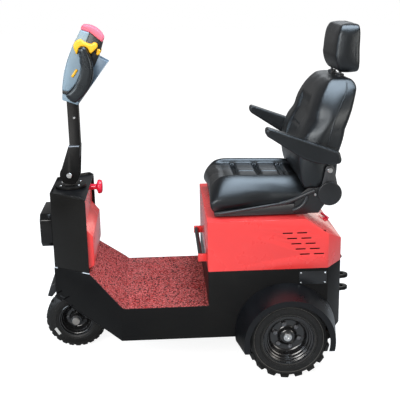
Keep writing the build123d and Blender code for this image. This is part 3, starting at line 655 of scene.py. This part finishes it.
def rearTyre(settings):
    inner, outer = settings["inner"], settings["outer"]
    profile = [
        (98, outer - 12), (103, outer - 5), (103.5, outer - 2.5), (108, outer - 0.6), (112, outer - 0.2),
        (113, outer - 1.8), (114.5, outer - 0.2), (124, outer - 0.1), (134, outer - 0.8),
        (136, outer - 2.6), (138, outer - 1.2), (143, outer - 2.2), (145, outer - 4.2), (147, outer - 3.6),
        (151, outer - 7), (154, outer - 14), (154.5, outer - 24), (154.5, inner + 24), (154, inner + 12),
        (151, inner + 6), (146, inner + 3), (134, inner + 1), (104, inner + 0.6), (98.5, inner + 2),
        (98, inner + 5), (98, outer - 12)]
    casing = turnPiece("casing", profile, settings["centre"], "y", 72, 28)
    middle = (inner + outer) / 2
    pitch = 360 / settings["lugs"]
    innerRow = treadRow("innerRow", settings, inner + 4, middle + 3, 150, pitch / 4, -4)
    outerRow = treadRow("outerRow", settings, middle - 3, outer - 3, 150, -pitch / 4, 5)
    return settle(joinPieces("rearTyreLeft", [casing, innerRow, outerRow]), 30)


def rearRim(settings):
    outer = settings["outer"]
    face = [
        (98, -11), (102.6, -4), (103.2, -1.6), (101.6, -0.2), (99, -0.4), (97.6, -2.6), (97, -6),
        (95.4, -7.6), (92.6, -8), (90.6, -9.6), (89.6, -15), (87.8, -17), (85, -17.6), (83, -19.4),
        (81.8, -26), (80, -28.4), (77, -29.2), (75.2, -31.6), (73.6, -40), (70.6, -47), (65.6, -51.4),
        (59, -53), (45, -53), (38, -52), (34.6, -48.4), (32.6, -41), (29.6, -36.4), (25, -34.4),
        (18, -33.6), (12.8, -33.4)]
    back = [(12.8, -85), (29, -85), (30.5, -60), (66, -59), (90, -55), (92, -84), (97, -86), (98, -84)]
    profile = [(radius, outer + along) for radius, along in face + back + face[:1]]
    return turnPiece("rearRimLeft", profile, settings["centre"], "y", 72, 40)


def rearHub(settings):
    # Axle end cap with a centre drilling, and the wheel nuts
    outer, centre = settings["outer"], settings["centre"]
    profile = [
        (0, -26), (3.2, -26), (3.6, -21.4), (8.6, -21), (9.6, -22), (10.4, -25.6), (15.4, -26.4), (17, -28.4),
        (17.2, -33.2), (0, -33.2)]
    cap = turnPiece("cap", [(radius, outer + along) for radius, along in profile], centre, "y", 32, 30)
    return cap, wheelNuts(settings, outer)


def mouldRings(settings, rings):
    # Raised mould lines round the side of the tyre: radius, and depth under the outer face
    pieces = []
    for radius, depth in rings:
        face = settings["outer"] - depth
        profile = [(radius - 1.1, face - 1), (radius - 0.7, face + 0.5), (radius + 0.7, face + 0.5),
                   (radius + 1.1, face - 1), (radius - 1.1, face - 1)]
        pieces.append(turnPiece("ring", profile, settings["centre"], "y", 72))
    return joinPieces("mouldRingsLeft", pieces)


tyreLeft = rearTyre(rearWheel)
ringsLeft = mouldRings(rearWheel, [(105.4, 2.2), (137, 2.0)])
rimLeft = rearRim(rearWheel)
capLeft, nutsLeft = rearHub(rearWheel)
for piece, name, finish, slotName, node in (
        (tyreLeft, "rearTyre", "tyreRubber", "tyre", "rear_tyre"),
        # The mould rings' paler rubber is a painted highlight
        (ringsLeft, "mouldRings", "ringRubberPaintedHighlight", "tyre", None),
        (rimLeft, "rearRim", "rimEnamel", "black_paint", "rear_rim"),
        (capLeft, "axleCap", "zincPlate", "steel", None),
        (nutsLeft, "wheelNuts", "nutSteel", "steel", None)):
    twin = mirrorCopy(piece, name + "Right")
    piece.name = name + "Left"
    give(piece, "rear_wheel_left", finish, slotName, *([node + "_left"] if node else []))
    give(twin, "rear_wheel_right", finish, slotName, *([node + "_right"] if node else []))


def frontTyre(settings):
    half = settings["half"]
    side = [
        (74, half - 6), (74.6, half - 3), (79, half - 0.8), (84, half - 0.2), (85, half - 1.4),
        (86.5, half - 0.2), (98, half - 0.2), (106, half - 1.6), (108, half - 3.4), (110.5, half - 3.2),
        (117, half - 7.5), (122.5, half - 14), (125, half - 20)]
    profile = side + [(radius, -along) for radius, along in reversed(side)] + side[:1]
    casing = turnPiece("casing", profile, settings["centre"], "y", 72, 28)
    pitch = 360 / settings["lugs"]
    rows = [treadRow("outerRow", settings, 15, half - 7, 117, 0, 12),
            treadRow("middleRow", settings, -12, 12, 121, pitch / 2, 0),
            treadRow("innerRow", settings, -half + 7, -15, 117, 0, -12)]
    return settle(joinPieces("frontTyre", [casing] + rows), 30)


def frontRim(settings):
    half = settings["half"]
    face = [
        (74, -5), (74.4, -2.4), (72.6, -1), (70, -1.4), (68.8, -4), (68, -7.6), (66, -9.4), (63.4, -10),
        (61.6, -12.6), (60.4, -19), (58, -21), (55.4, -22.6), (53.6, -27), (51, -35), (46, -39.4),
        (40, -40.5), (32, -40), (29, -37), (27.4, -28), (26, -16), (25, 3), (24, 6), (20, 7), (10.4, 7)]
    back = [(10.4, -86.5), (23, -86.5), (24, -52), (50, -50), (67, -46), (68, -82), (73, -84), (74, -80)]
    profile = [(radius, half + along) for radius, along in face + back + face[:1]]
    return turnPiece("frontRim", profile, settings["centre"], "y", 64, 40)


def frontHub(settings):
    half = settings["half"]
    x, z = settings["centre"][::2]
    corners = [(x + 24 * cos(k * pi / 3), z + 24 * sin(k * pi / 3)) for k in range(6)]
    lock = addPlate("axleNut", corners, half + 6.8, half + 13, 2)
    end = addPin("axleEnd", (x, half + 7, z), "y", 16.5, 11, 1.5)
    return lock, end, wheelNuts(settings, half)


give(frontTyre(frontWheel), "front_wheel", "tyreRubber", "tyre", "front_tyre")
give(frontRim(frontWheel), "front_wheel", "rimEnamel", "black_paint", "front_rim")
axleNut, axleEnd, frontNuts = frontHub(frontWheel)
give(axleNut, "front_wheel", "blackSteel", "steel")
give(axleEnd, "front_wheel", "dullSteel", "steel")
give(frontNuts, "front_wheel", "darkSteel", "steel")
print("wheels made")

# Hood and its fittings
dressNode("hood", "hoodShell", 1.3, "hood", "redPaint", "red_paint")
dressNode("lift_bar", "liftBar", 1.0, "hood", "redPaint", "red_paint")
keepNode("hinge_upper", "framePaint")
keepNode("seat_rails", "darkSteel")

# Steering disc, arm and control head
dressNode("steering_disc", "steeringDisc", 1.2, "steering", "blackPaint", "black_paint")
dressNode("tiller_arm", "tillerArm", 1.6, "tiller", "blackPaint", "black_paint", 3)
headParts = [
    ("head_base", "headBase", "shellPlastic", "grey_plastic", 3.0),
    ("head_shell", "headShell", "shellPlastic", "grey_plastic", 6.0),
    ("head_block", "headBlock", "blackPlastic", "black_plastic", 2.0),
    # The console wears the shell's plastic with painted shade
    ("head_console", "headConsole", "shellPlasticPaintedShade", "grey_plastic", 2.5),
    ("belly_button", "bellyButton", "pinkCap", "pink_rubber", 7.0),
]
for node, name, finish, slotName, bevel in headParts:
    dressNode(node, name, bevel, "tiller", finish, slotName, 4)


def mouldNode(node, name, voxel, bevel, passes, swell, finish, slotName):
    # A rounded moulding of the head: bevelled, remeshed and relaxed, then given back what relaxing took
    piece = copyNode(node, name)
    roundEdges(piece, bevel, 3)
    useModifier(piece, "REMESH", mode="VOXEL", voxel_size=voxel / 1000)
    useModifier(piece, "SMOOTH", factor=0.5, iterations=passes)
    useModifier(piece, "DISPLACE", strength=swell / 1000, mid_level=0)
    give(settle(piece, 60), "tiller", finish, slotName, node)


for side in ("left", "right"):
    mouldNode("hand_grip_" + side, "handGrip" + side.title(), 2.2, 9.0, 18, 4.2, "gripRubber", "black_rubber")
mouldNode("throttle", "thumbThrottle", 1.6, 3.0, 4, 1.4, "yellowPlastic", "yellow_plastic")


def stopKnob(settings):
    x, y, z = settings["spot"]
    reach = settings["reach"]
    end = x - reach
    profile = [
        (0, x), (15, x), (15, x - 5), (12.4, x - 7), (12.4, x - 16), (11.4, end + 30), (13, end + 25),
        (20, end + 22), (27.5, end + 20), (29.6, end + 17), (30, end + 13), (29, end + 7), (26.4, end + 3),
        (20, end + 0.6), (8, end), (0, end)]
    return turnPiece("stopKnob", profile, (0, y, z), "x", 40, 40)


give(stopKnob(dict(spot=(452, -60, 692), reach=61)), "chassis", "redKnob", "red_plastic", "emergency_stop")
print("hood, tiller and head made")


# Seat: the pads start from their solids, are blown up as cloth, and get their sewn lines after that
def meshPoints(mesh, kind="co"):
    points = np.empty(len(mesh.vertices) * 3)
    mesh.vertices.foreach_get(kind, points)
    return points.reshape(-1, 3)


def setPoints(piece, points):
    piece.data.vertices.foreach_set("co", points.ravel())
    piece.data.update()


def evened(mesh, field, passes):
    # Averages a field of vectors along the mesh's edges, so that the swelling has no wrinkles
    ends = np.empty(len(mesh.edges) * 2, dtype=int)
    mesh.edges.foreach_get("vertices", ends)
    first, second = ends.reshape(-1, 2).T
    count = np.bincount(ends, minlength=len(field))[:, None]
    for turn in range(passes):
        total = np.zeros_like(field)
        np.add.at(total, first, field[second])
        np.add.at(total, second, field[first])
        field = (field + total / count) / 2
    return field


def blowUp(piece, settings):
    # Cloth under pressure for twenty frames, with the way that a point may move capped
    before = meshPoints(piece.data)
    cloth = piece.modifiers.new("Cloth", "CLOTH")
    cloth.settings.quality = 5
    cloth.settings.mass = 0.3
    cloth.settings.tension_stiffness = settings["stiffness"]
    cloth.settings.compression_stiffness = settings["stiffness"]
    cloth.settings.use_pressure = True
    cloth.settings.uniform_pressure_force = settings["pressure"]
    cloth.settings.effector_weights.gravity = 0
    cloth.point_cache.frame_start = 1
    cloth.point_cache.frame_end = 20
    for frameNumber in range(1, 21):
        bpy.context.scene.frame_set(frameNumber)
    moved = piece.evaluated_get(bpy.context.evaluated_depsgraph_get())
    after = meshPoints(moved.data)
    piece.modifiers.remove(cloth)
    bpy.context.scene.frame_set(1)
    way = after - before
    length = np.linalg.norm(way, axis=1)[:, None]
    cap = settings["cap"] / 1000
    way = way * np.minimum(1, cap / np.maximum(length, 1e-9))
    setPoints(piece, before + evened(piece.data, way, settings["ease"]))


def makePad(node, name, settings):
    piece = copyNode(node, name)
    foot = meshPoints(piece.data)[:, 2].min()
    useModifier(piece, "REMESH", mode="VOXEL", voxel_size=settings["voxel"] / 1000)
    if settings["shrink"]:
        useModifier(piece, "DISPLACE", strength=-settings["shrink"] / 1000, mid_level=0)
    useModifier(piece, "SMOOTH", factor=0.5, iterations=settings["passes"])
    # Relaxing takes from the size, and the spread gives it back at both ends of each axis
    points = meshPoints(piece.data)
    middle = (points.max(axis=0) + points.min(axis=0)) / 2
    reach = (points.max(axis=0) - points.min(axis=0)) * 500
    setPoints(piece, middle + (points - middle) * (1 + np.array(settings["spread"]) / reach))
    if settings["pressure"]:
        blowUp(piece, settings)
    useModifier(piece, "SUBSURF", levels=1, render_levels=1)
    if settings.get("flatFoot"):
        # What the pad rests on keeps its clearance from the rails below
        points = meshPoints(piece.data)
        points[:, 2] = np.maximum(points[:, 2], foot)
        setPoints(piece, points)
    return piece


def step(value, low, high):
    share = np.clip((value - low) / (high - low), 0, 1)
    return share * share * (3 - 2 * share)


def groove(value, middle, width):
    return np.exp(-(((value - middle) / width) ** 2))


seatPad = dict(
    voxel=6, shrink=4, passes=30, spread=(15, 13, 10), ease=50, pressure=4, stiffness=15, cap=20,
    channels=(-166, -262, -352), channelDepth=10, channelHalf=6, panel=134, panelEdge=(14, 22), sink=29,
    fore=(62, 120), crown=4, creaseDepth=8, creaseWidth=4.5, middleFrom=(170, 185), sidesFrom=(95, 130),
    shoulder=66, shoulderFrom=116, shoulderWidth=122, rearReach=22, rear=(300, 400), flatFoot=True)
backPad = dict(voxel=6, shrink=4, passes=45, spread=(12, 12, 20), ease=50, pressure=4, stiffness=15, cap=12)
headPad = dict(voxel=5, shrink=2, passes=26, spread=(6, 10, 8), ease=40, pressure=3.5, stiffness=15, cap=4)
armPad = dict(voxel=4, shrink=0, passes=7, spread=(0, 1.5, 3), pressure=0)


def sewSeat(piece, settings):
    points = meshPoints(piece.data)
    x, y, z = (points * 1000).T
    upward = step(meshPoints(piece.data, "normal")[:, 2], 0.25, 0.8)
    panel = settings["panel"]
    across = np.abs(y)
    inPanel = 1 - step(across, panel - settings["panelEdge"][0], panel + settings["panelEdge"][1])
    fore = step(-x, *settings["fore"])
    drop = settings["sink"] * inPanel * (0.25 + 0.75 * fore)
    half, width = settings["channelHalf"], settings["creaseWidth"]
    between = np.ones_like(x)
    for middle in settings["channels"]:
        band = groove(x, middle - half, width) + groove(x, middle + half, width) - 0.25 * groove(x, middle, 3)
        drop += settings["channelDepth"] * band * (1 - step(across, panel - 6, panel + 4))
        between *= 1 - 0.9 * groove(x, middle, 16)
    crease = settings["creaseDepth"]
    drop += crease * groove(y, 0, width) * between * step(-x, *settings["middleFrom"])
    drop += crease * 0.8 * groove(across, panel, 5) * step(-x, *settings["sidesFrom"])
    drop -= settings["crown"] * inPanel * np.abs(np.cos((across / panel) * pi)) * between * fore
    share = (z - z.min()) / (z.max() - z.min())
    outward = np.clip((across - settings["shoulderFrom"]) / settings["shoulderWidth"], 0, 1)
    slump = settings["shoulder"] * outward ** 2 * share
    points[:, 2] -= (drop * upward + slump) / 1000
    points[:, 0] -= settings["rearReach"] * step(-x, *settings["rear"]) / 1000
    setPoints(piece, points)
    return settle(piece, 60)


backShape = dict(
    pivot=(-511, 719), frontLevels=(43, 90, 160, 240, 290, 372, 425), frontShift=(18, 12, 2, 0, 1, 6, 12),
    rearLevels=(43, 131, 240, 272, 330, 370, 433), rearShift=(14, 17, 24, 18, 9, 0, -6), panel=84, sink=11,
    crease=954, panelFoot=(850, 920), panelHead=(1040, 1090), footDrop=18, foot=(30, 120))


def sewBack(piece, settings):
    # Leans the outline to its measured sections, then sinks the middle panel and its crease
    points = meshPoints(piece.data)
    y, z = (points[:, 1:] * 1000).T
    facing = meshPoints(piece.data, "normal")[:, 0]
    forward = step(facing, 0.2, 0.7)
    ahead = step(facing, -0.5, 0.5)
    up = z - settings["pivot"][1]
    shift = ahead * np.interp(up, settings["frontLevels"], settings["frontShift"])
    shift += (1 - ahead) * np.interp(up, settings["rearLevels"], settings["rearShift"])
    across = np.abs(y)
    inPanel = 1 - step(across, settings["panel"] - 14, settings["panel"] + 34)
    height = step(z, *settings["panelFoot"]) * (1 - step(z, *settings["panelHead"]))
    drop = settings["sink"] * inPanel * height
    drop += 6 * groove(across, settings["panel"] + 6, 6) * height
    drop += 4 * groove(z, settings["crease"], 5) * (
        1 - step(across, settings["panel"] - 4, settings["panel"] + 6))
    points[:, 0] += (shift - drop * forward) / 1000
    points[:, 2] -= settings["footDrop"] * (1 - step(up, *settings["foot"])) / 1000
    setPoints(piece, points)
    return settle(piece, 60)


headShape = dict(
    rear=-642, front=-549, low=1176, lower=4, relax=14, levels=(0, 6, 20, 40, 62, 108, 150, 176),
    reach=(72, 74, 80, 86, 90, 86, 78, 68))


def shapeHead(piece, settings):
    # The headrest's front is cut back towards its foot and leans back towards its top
    points = meshPoints(piece.data)
    x, up = points[:, 0] * 1000, points[:, 2] * 1000 - settings["low"]
    reach = np.interp(up, settings["levels"], settings["reach"])
    share = (x - settings["rear"]) / (settings["front"] - settings["rear"])
    points[:, 0] = (settings["rear"] + share * reach) / 1000
    points[:, 2] -= settings["lower"] / 1000
    setPoints(piece, points)
    useModifier(piece, "SMOOTH", factor=0.5, iterations=settings["relax"])
    return settle(piece, 60)


def sewPiping(name, cushion, route, radius):
    # Piping laid on the cushion's surface along a route beside it
    spots = []
    for point in route:
        spot = cushion.closest_point_on_mesh(Vector(point) / 1000)[1]
        spots.append([part * 1000 for part in spot])
    return addTube(name, spots, radius)


seatCushion = give(
    sewSeat(makePad("seat_cushion", "seatCushion", seatPad), seatPad), "seat", "seatLeather", "seat_cover",
    "seat_cushion")
print("seat cushion made")
backCushion = give(
    sewBack(makePad("backrest", "backCushion", backPad), backShape), "backrest", "seatLeather",
    "seat_cover", "backrest")
print("back cushion made")
headCushion = give(
    shapeHead(makePad("headrest", "headCushion", headPad), headShape), "backrest", "seatLeather",
    "seat_cover", "headrest")
for side in ("left", "right"):
    rest = settle(makePad("armrest_" + side, "armPad" + side.title(), armPad), 60)
    give(rest, "armrest_" + side, "seatLeather", "seat_cover", "armrest_" + side)
print("headrest and armrests made")

# Places along the backrest's rear edge: back from the pivot, up from it, and out from the middle
backSeam = [(10, 90, 246), (12, 176, 246), (4, 223, 244), (-8, 270, 240), (-35, 323, 230), (-67, 377, 200),
            (-76, 408, 172), (-76, 432, 140), (-74, 436, 90), (-74, 436, 0)]
pipingRoute = [(backShape["pivot"][0] + back, out, backShape["pivot"][1] + up) for back, up, out in backSeam]
pipingRoute += [(x, -y, z) for x, y, z in reversed(pipingRoute[:-1])]
give(sewPiping("backPiping", backCushion, pipingRoute, 3.4), "backrest", "seatLeather", "seat_cover")
headSeam = [(-624, 118, 1190), (-625, 125, 1220), (-626, 125, 1300), (-625, 118, 1340), (-624, 90, 1352),
            (-624, 0, 1352)]
headRoute = headSeam + [(x, -y, z) for x, y, z in reversed(headSeam[:-1])]
give(sewPiping("headPiping", headCushion, headRoute, 2.6), "backrest", "seatLeather", "seat_cover")

# Seat fittings
dressNode("seat_pan", "seatPan", 1.5, "seat", "blackPlastic", "black_paint")
for side in ("left", "right"):
    cover, arm = "reclinerCover" + side.title(), "reclinerArm" + side.title()
    dressNode("recliner_cover_" + side, cover, 3.0, "seat", "blackPlastic", "black_plastic", 3)
    dressNode("recliner_arm_" + side, arm, 1.0, "backrest", "darkSteel", "black_paint")
    keepNode("armrest_pin_" + side, "darkSteel")
keepNode("headrest_posts", "darkSteel")
print("seat fittings made")

# Slide rod and recliner lever beside the cushion
leverRoutes = [
    ("slideRod", [(-79, 259, 649), (-324, 259, 684)], 5, False),
    ("slideLever", [(-318, 259, 683), (-357, 259, 690), (-421, 260, 722), (-452, 262, 733)], 7.5, True),
    ("lowLever", [(-368, 261, 655), (-416, 261, 668), (-422, 261, 712)], 7, True),
]
for name, route, radius, smooth in leverRoutes:
    give(addTube(name, route, radius, smooth), "seat", "blackSteel", "steel")
for name, side in (("postCollarLeft", 1), ("postCollarRight", -1)):
    top = backCushion.ray_cast(Vector((-0.58, side * 0.075, 1.3)), Vector((0, 0, -1)))[1].z * 1000
    collar = addPin(name, (-580, side * 75, top - 3), "z", 16, 13, 2.5)
    give(collar, "backrest", "blackPlastic", "black_plastic")

give(
    addTube("liftSleeve", [(-7, -178, 452), (-7, 178, 452)], 8.8, False), "hood", "blackPlastic",
    "black_rubber")

# Bolt heads, each with a twin on the right side: name, foot, axis, radius, length, body and finish
heads = [
    ("reclinerBolt", (-511, 258.4, 811), "y", 10, 6, "backrest", "zincPlate"),
    ("plateBolt", (-456, 253.2, 714), "y", 5, 3, "seat", "zincPlate"),
    ("pivotBolt", (515, 48.1, 769.7), "y", 11, 5, "tiller", "zincPlate"),
    ("armBolt", (484, 25.1, 1002), "y", 4.5, 3, "tiller", "zincPlate"),
    ("discBoltFore", (554, 34, 723.1), "z", 5, 4, "steering", "zincPlate"),
    ("discBoltRear", (480, 34, 723.1), "z", 5, 4, "steering", "zincPlate"),
    ("guardBoltRear", (-475, 300.1, 288), "y", 5, 3, "chassis", "darkSteel"),
    ("guardBoltFore", (-398, 300.1, 338), "y", 4, 3, "chassis", "darkSteel"),
]
for name, foot, axis, radius, length, body, finish in heads:
    givePair(addPin(name, foot, axis, radius, length), body, finish, "steel")
for label, x, z in (("One", -397, 408), ("Two", -493, 406), ("Three", -397, 368), ("Four", -493, 366)):
    give(addPin("plateRivet" + label, (x, 301.1, z), "y", 3.6, 1.6), "chassis", "zincPlate", "steel")
# Near-black sheets behind the hood's slots, painted shade seen through them
givePair(addBlock("slotPaintedShade", (-492, 294.4, 478), (-318, 298.6, 582), 0), "hood", "paintedShadeBlack", "steel")
give(addBlock("ratingPlate", (-500, 300.1, 360), (-390, 301.2, 414), 0.5), "chassis", "blackPlastic", "steel")

# Painted glints at the ends of the seam under the column, the front tyre's blank label and the latch on the
# hood's slope
seams = [
    ("seamGlintRear", [(440, 223.4, 406.4), (468, 206.1, 406.4)]),
    ("seamGlintFore", [(575, 139.8, 406.4), (588, 131.9, 406.4)])]
for name, route in seams:
    givePair(addTube(name, route, 2, False), "chassis", "paintedHighlightWhite", "steel")


def tyreLabel(settings, wheel):
    x, z = wheel["centre"][::2]
    middle = radians(settings["angle"])
    corners = []
    for along, out in ((-1, -1), (1, -1), (1, 1), (-1, 1)):
        reach = settings["radius"] + out * settings["halfWidth"]
        turn = along * settings["halfLength"]
        ahead = reach * cos(middle) - turn * sin(middle)
        corners.append((x + ahead, z + reach * sin(middle) + turn * cos(middle)))
    return addPlate("tyreLabel", corners, wheel["half"] - 0.6, wheel["half"] + 0.5, 0)


labelPlace = dict(radius=96, angle=-31, halfLength=17, halfWidth=6)
give(tyreLabel(labelPlace, frontWheel), "front_wheel", "barePlate", "grey_plastic")
latchParts = [
    addBlock("latchFoot", (-560, -14, 524), (-538, 14, 544), 2),
    addTube("latchBar", [(-562, 14, 541), (-548, 0, 551), (-536, -14, 556)], 4.5)]
give(joinPieces("hoodLatch", latchParts), "hood", "redKnob", "red_plastic")

# A painted highlight along the top edge of the arm's bracket
give(addBlock("bracketEdgeHighlight", (470, 25.3, 885.9), (513, 40.4, 888.4), 0.6), "tiller", "paintedEdgeHighlight", "steel")

# Short slots near the lower edge of the nose's tapered side, as near-black blocks of painted shade: middle and
# length
taper = dict(angle=-31.7, slope=32, height=5)
noseSlots = [
    ("noseSlotOne", (573, 141.2, 302), 28), ("noseSlotTwo", (545, 158.5, 282), 38),
    ("noseSlotThree", (526, 170.3, 250), 20)]
for name, middle, length in noseSlots:
    slot = addBlock(name, (-length / 2, -1, -taper["height"] / 2), (length / 2, 0.9, taper["height"] / 2), 0)
    lean = Matrix.Rotation(radians(taper["angle"]), 4, "Z") @ Matrix.Rotation(radians(taper["slope"]), 4, "Y")
    slot.data.transform(Matrix.Translation(Vector(middle) / 1000) @ lean)
    givePair(slot, "chassis", "paintedShadeBlack", "steel")

# Painted highlights along the edges of the head's shell and console, as pale lines, drawn from the arm's
# middle and the foot of the head
headSpot = (488, 1062)
edgeLines = [
    ("shellEdgeHighlight", [(35, 53), (27, 114), (7, 175), (-19, 232), (-50, 286)], 42.2, 1.3),
    ("consoleEdgeHighlight", [(-29, 2), (-70, 55), (-112, 108), (-151, 160)], 37.2, 1.1),
]
for name, outline, out, radius in edgeLines:
    route = [(headSpot[0] + along, out, headSpot[1] + up) for along, up in outline]
    givePair(addTube(name, route, radius), "tiller", "paintedHighlightWhite", "grey_plastic")
print("small pieces made")

# Floor and world glow white for the camera alone, and the lamps stand round the object as in a studio
floorLook = dict(size=40, level=-0.0005, base=0.38, rough=0.9, specular=0.1, glow=(0.86, 1.0), fade=(1.2, 3.5))
worldLook = dict(lit=0.22, seen=1.0)
clearSelection()
bpy.ops.mesh.primitive_plane_add(size=floorLook["size"], location=(0, 0, floorLook["level"]))
floor = bpy.context.object
floor.name = "studioFloor"
floorFinish, tree, shader = startFinish("studioFloor", floorLook)[:3]
away = addNode(tree, "VectorMath", {0: ownPlace(tree)}, operation="LENGTH").outputs["Value"]
whitening = addRange(tree, away, *floorLook["fade"], *floorLook["glow"])
seen = addNode(tree, "LightPath").outputs["Is Camera Ray"]
wire(tree, shader, {
    "Base Color": (floorLook["base"],) * 3 + (1,), "Roughness": floorLook["rough"],
    "Emission Color": (1, 1, 1, 1), "Emission Strength": addMath(tree, "MULTIPLY", seen, whitening)})
floor.data.materials.append(floorFinish)

world = bpy.data.worlds.new("studioWorld")
bpy.context.scene.world = world
world.use_nodes = True
tree = world.node_tree
seen = addNode(tree, "LightPath").outputs["Is Camera Ray"]
strength = addRange(tree, seen, 0.0, 1.0, worldLook["lit"], worldLook["seen"])
wire(tree, tree.nodes["Background"], {"Color": (1, 1, 1, 1), "Strength": strength})

# Lamps, in metres and watts: name, spot, aim, size, power and tint
lamps = [
    ("keyLamp", (1.6, 4.6, 2.6), (0, 0, 0.5), 2.4, 204, (1, 0.98, 0.96)),
    ("fillLamp", (-3.6, 3.4, 1.6), (-0.2, 0, 0.4), 2.0, 60, (1, 0.95, 0.88)),
    ("topLamp", (-0.7, 0.35, 3.3), (-0.2, 0, 0.5), 2.0, 130, (0.76, 0.88, 1.0)),
    ("sideLamp", (3.4, 1.9, 1.9), (0, 0, 0.7), 1.4, 45, (0.78, 0.89, 1.0)),
    ("slopeLamp", (-2.1, -4.2, 0.45), (-0.5, 0, 0.57), 1.3, 8, (1, 0.96, 0.88)),
    ("horizonLamp", (-1.4, -5.3, 2.5), (-0.2, 0, 0.7), 1.8, 9, (0.9, 0.95, 1)),
    ("frontLamp", (4.6, -0.9, 1.2), (-0.2, 0, 0.8), 1.8, 30, (0.72, 0.86, 1)),
]
for name, spot, aim, size, power, tint in lamps:
    light = bpy.data.lights.new(name, "AREA")
    light.energy = power
    light.size = size
    light.color = tint
    holder = bpy.data.objects.new(name, light)
    bpy.context.scene.collection.objects.link(holder)
    holder.location = spot
    holder.rotation_euler = (Vector(aim) - Vector(spot)).to_track_quat("-Z", "Y").to_euler()
bpy.context.scene.view_settings.view_transform = "Standard"

print("scene ready")
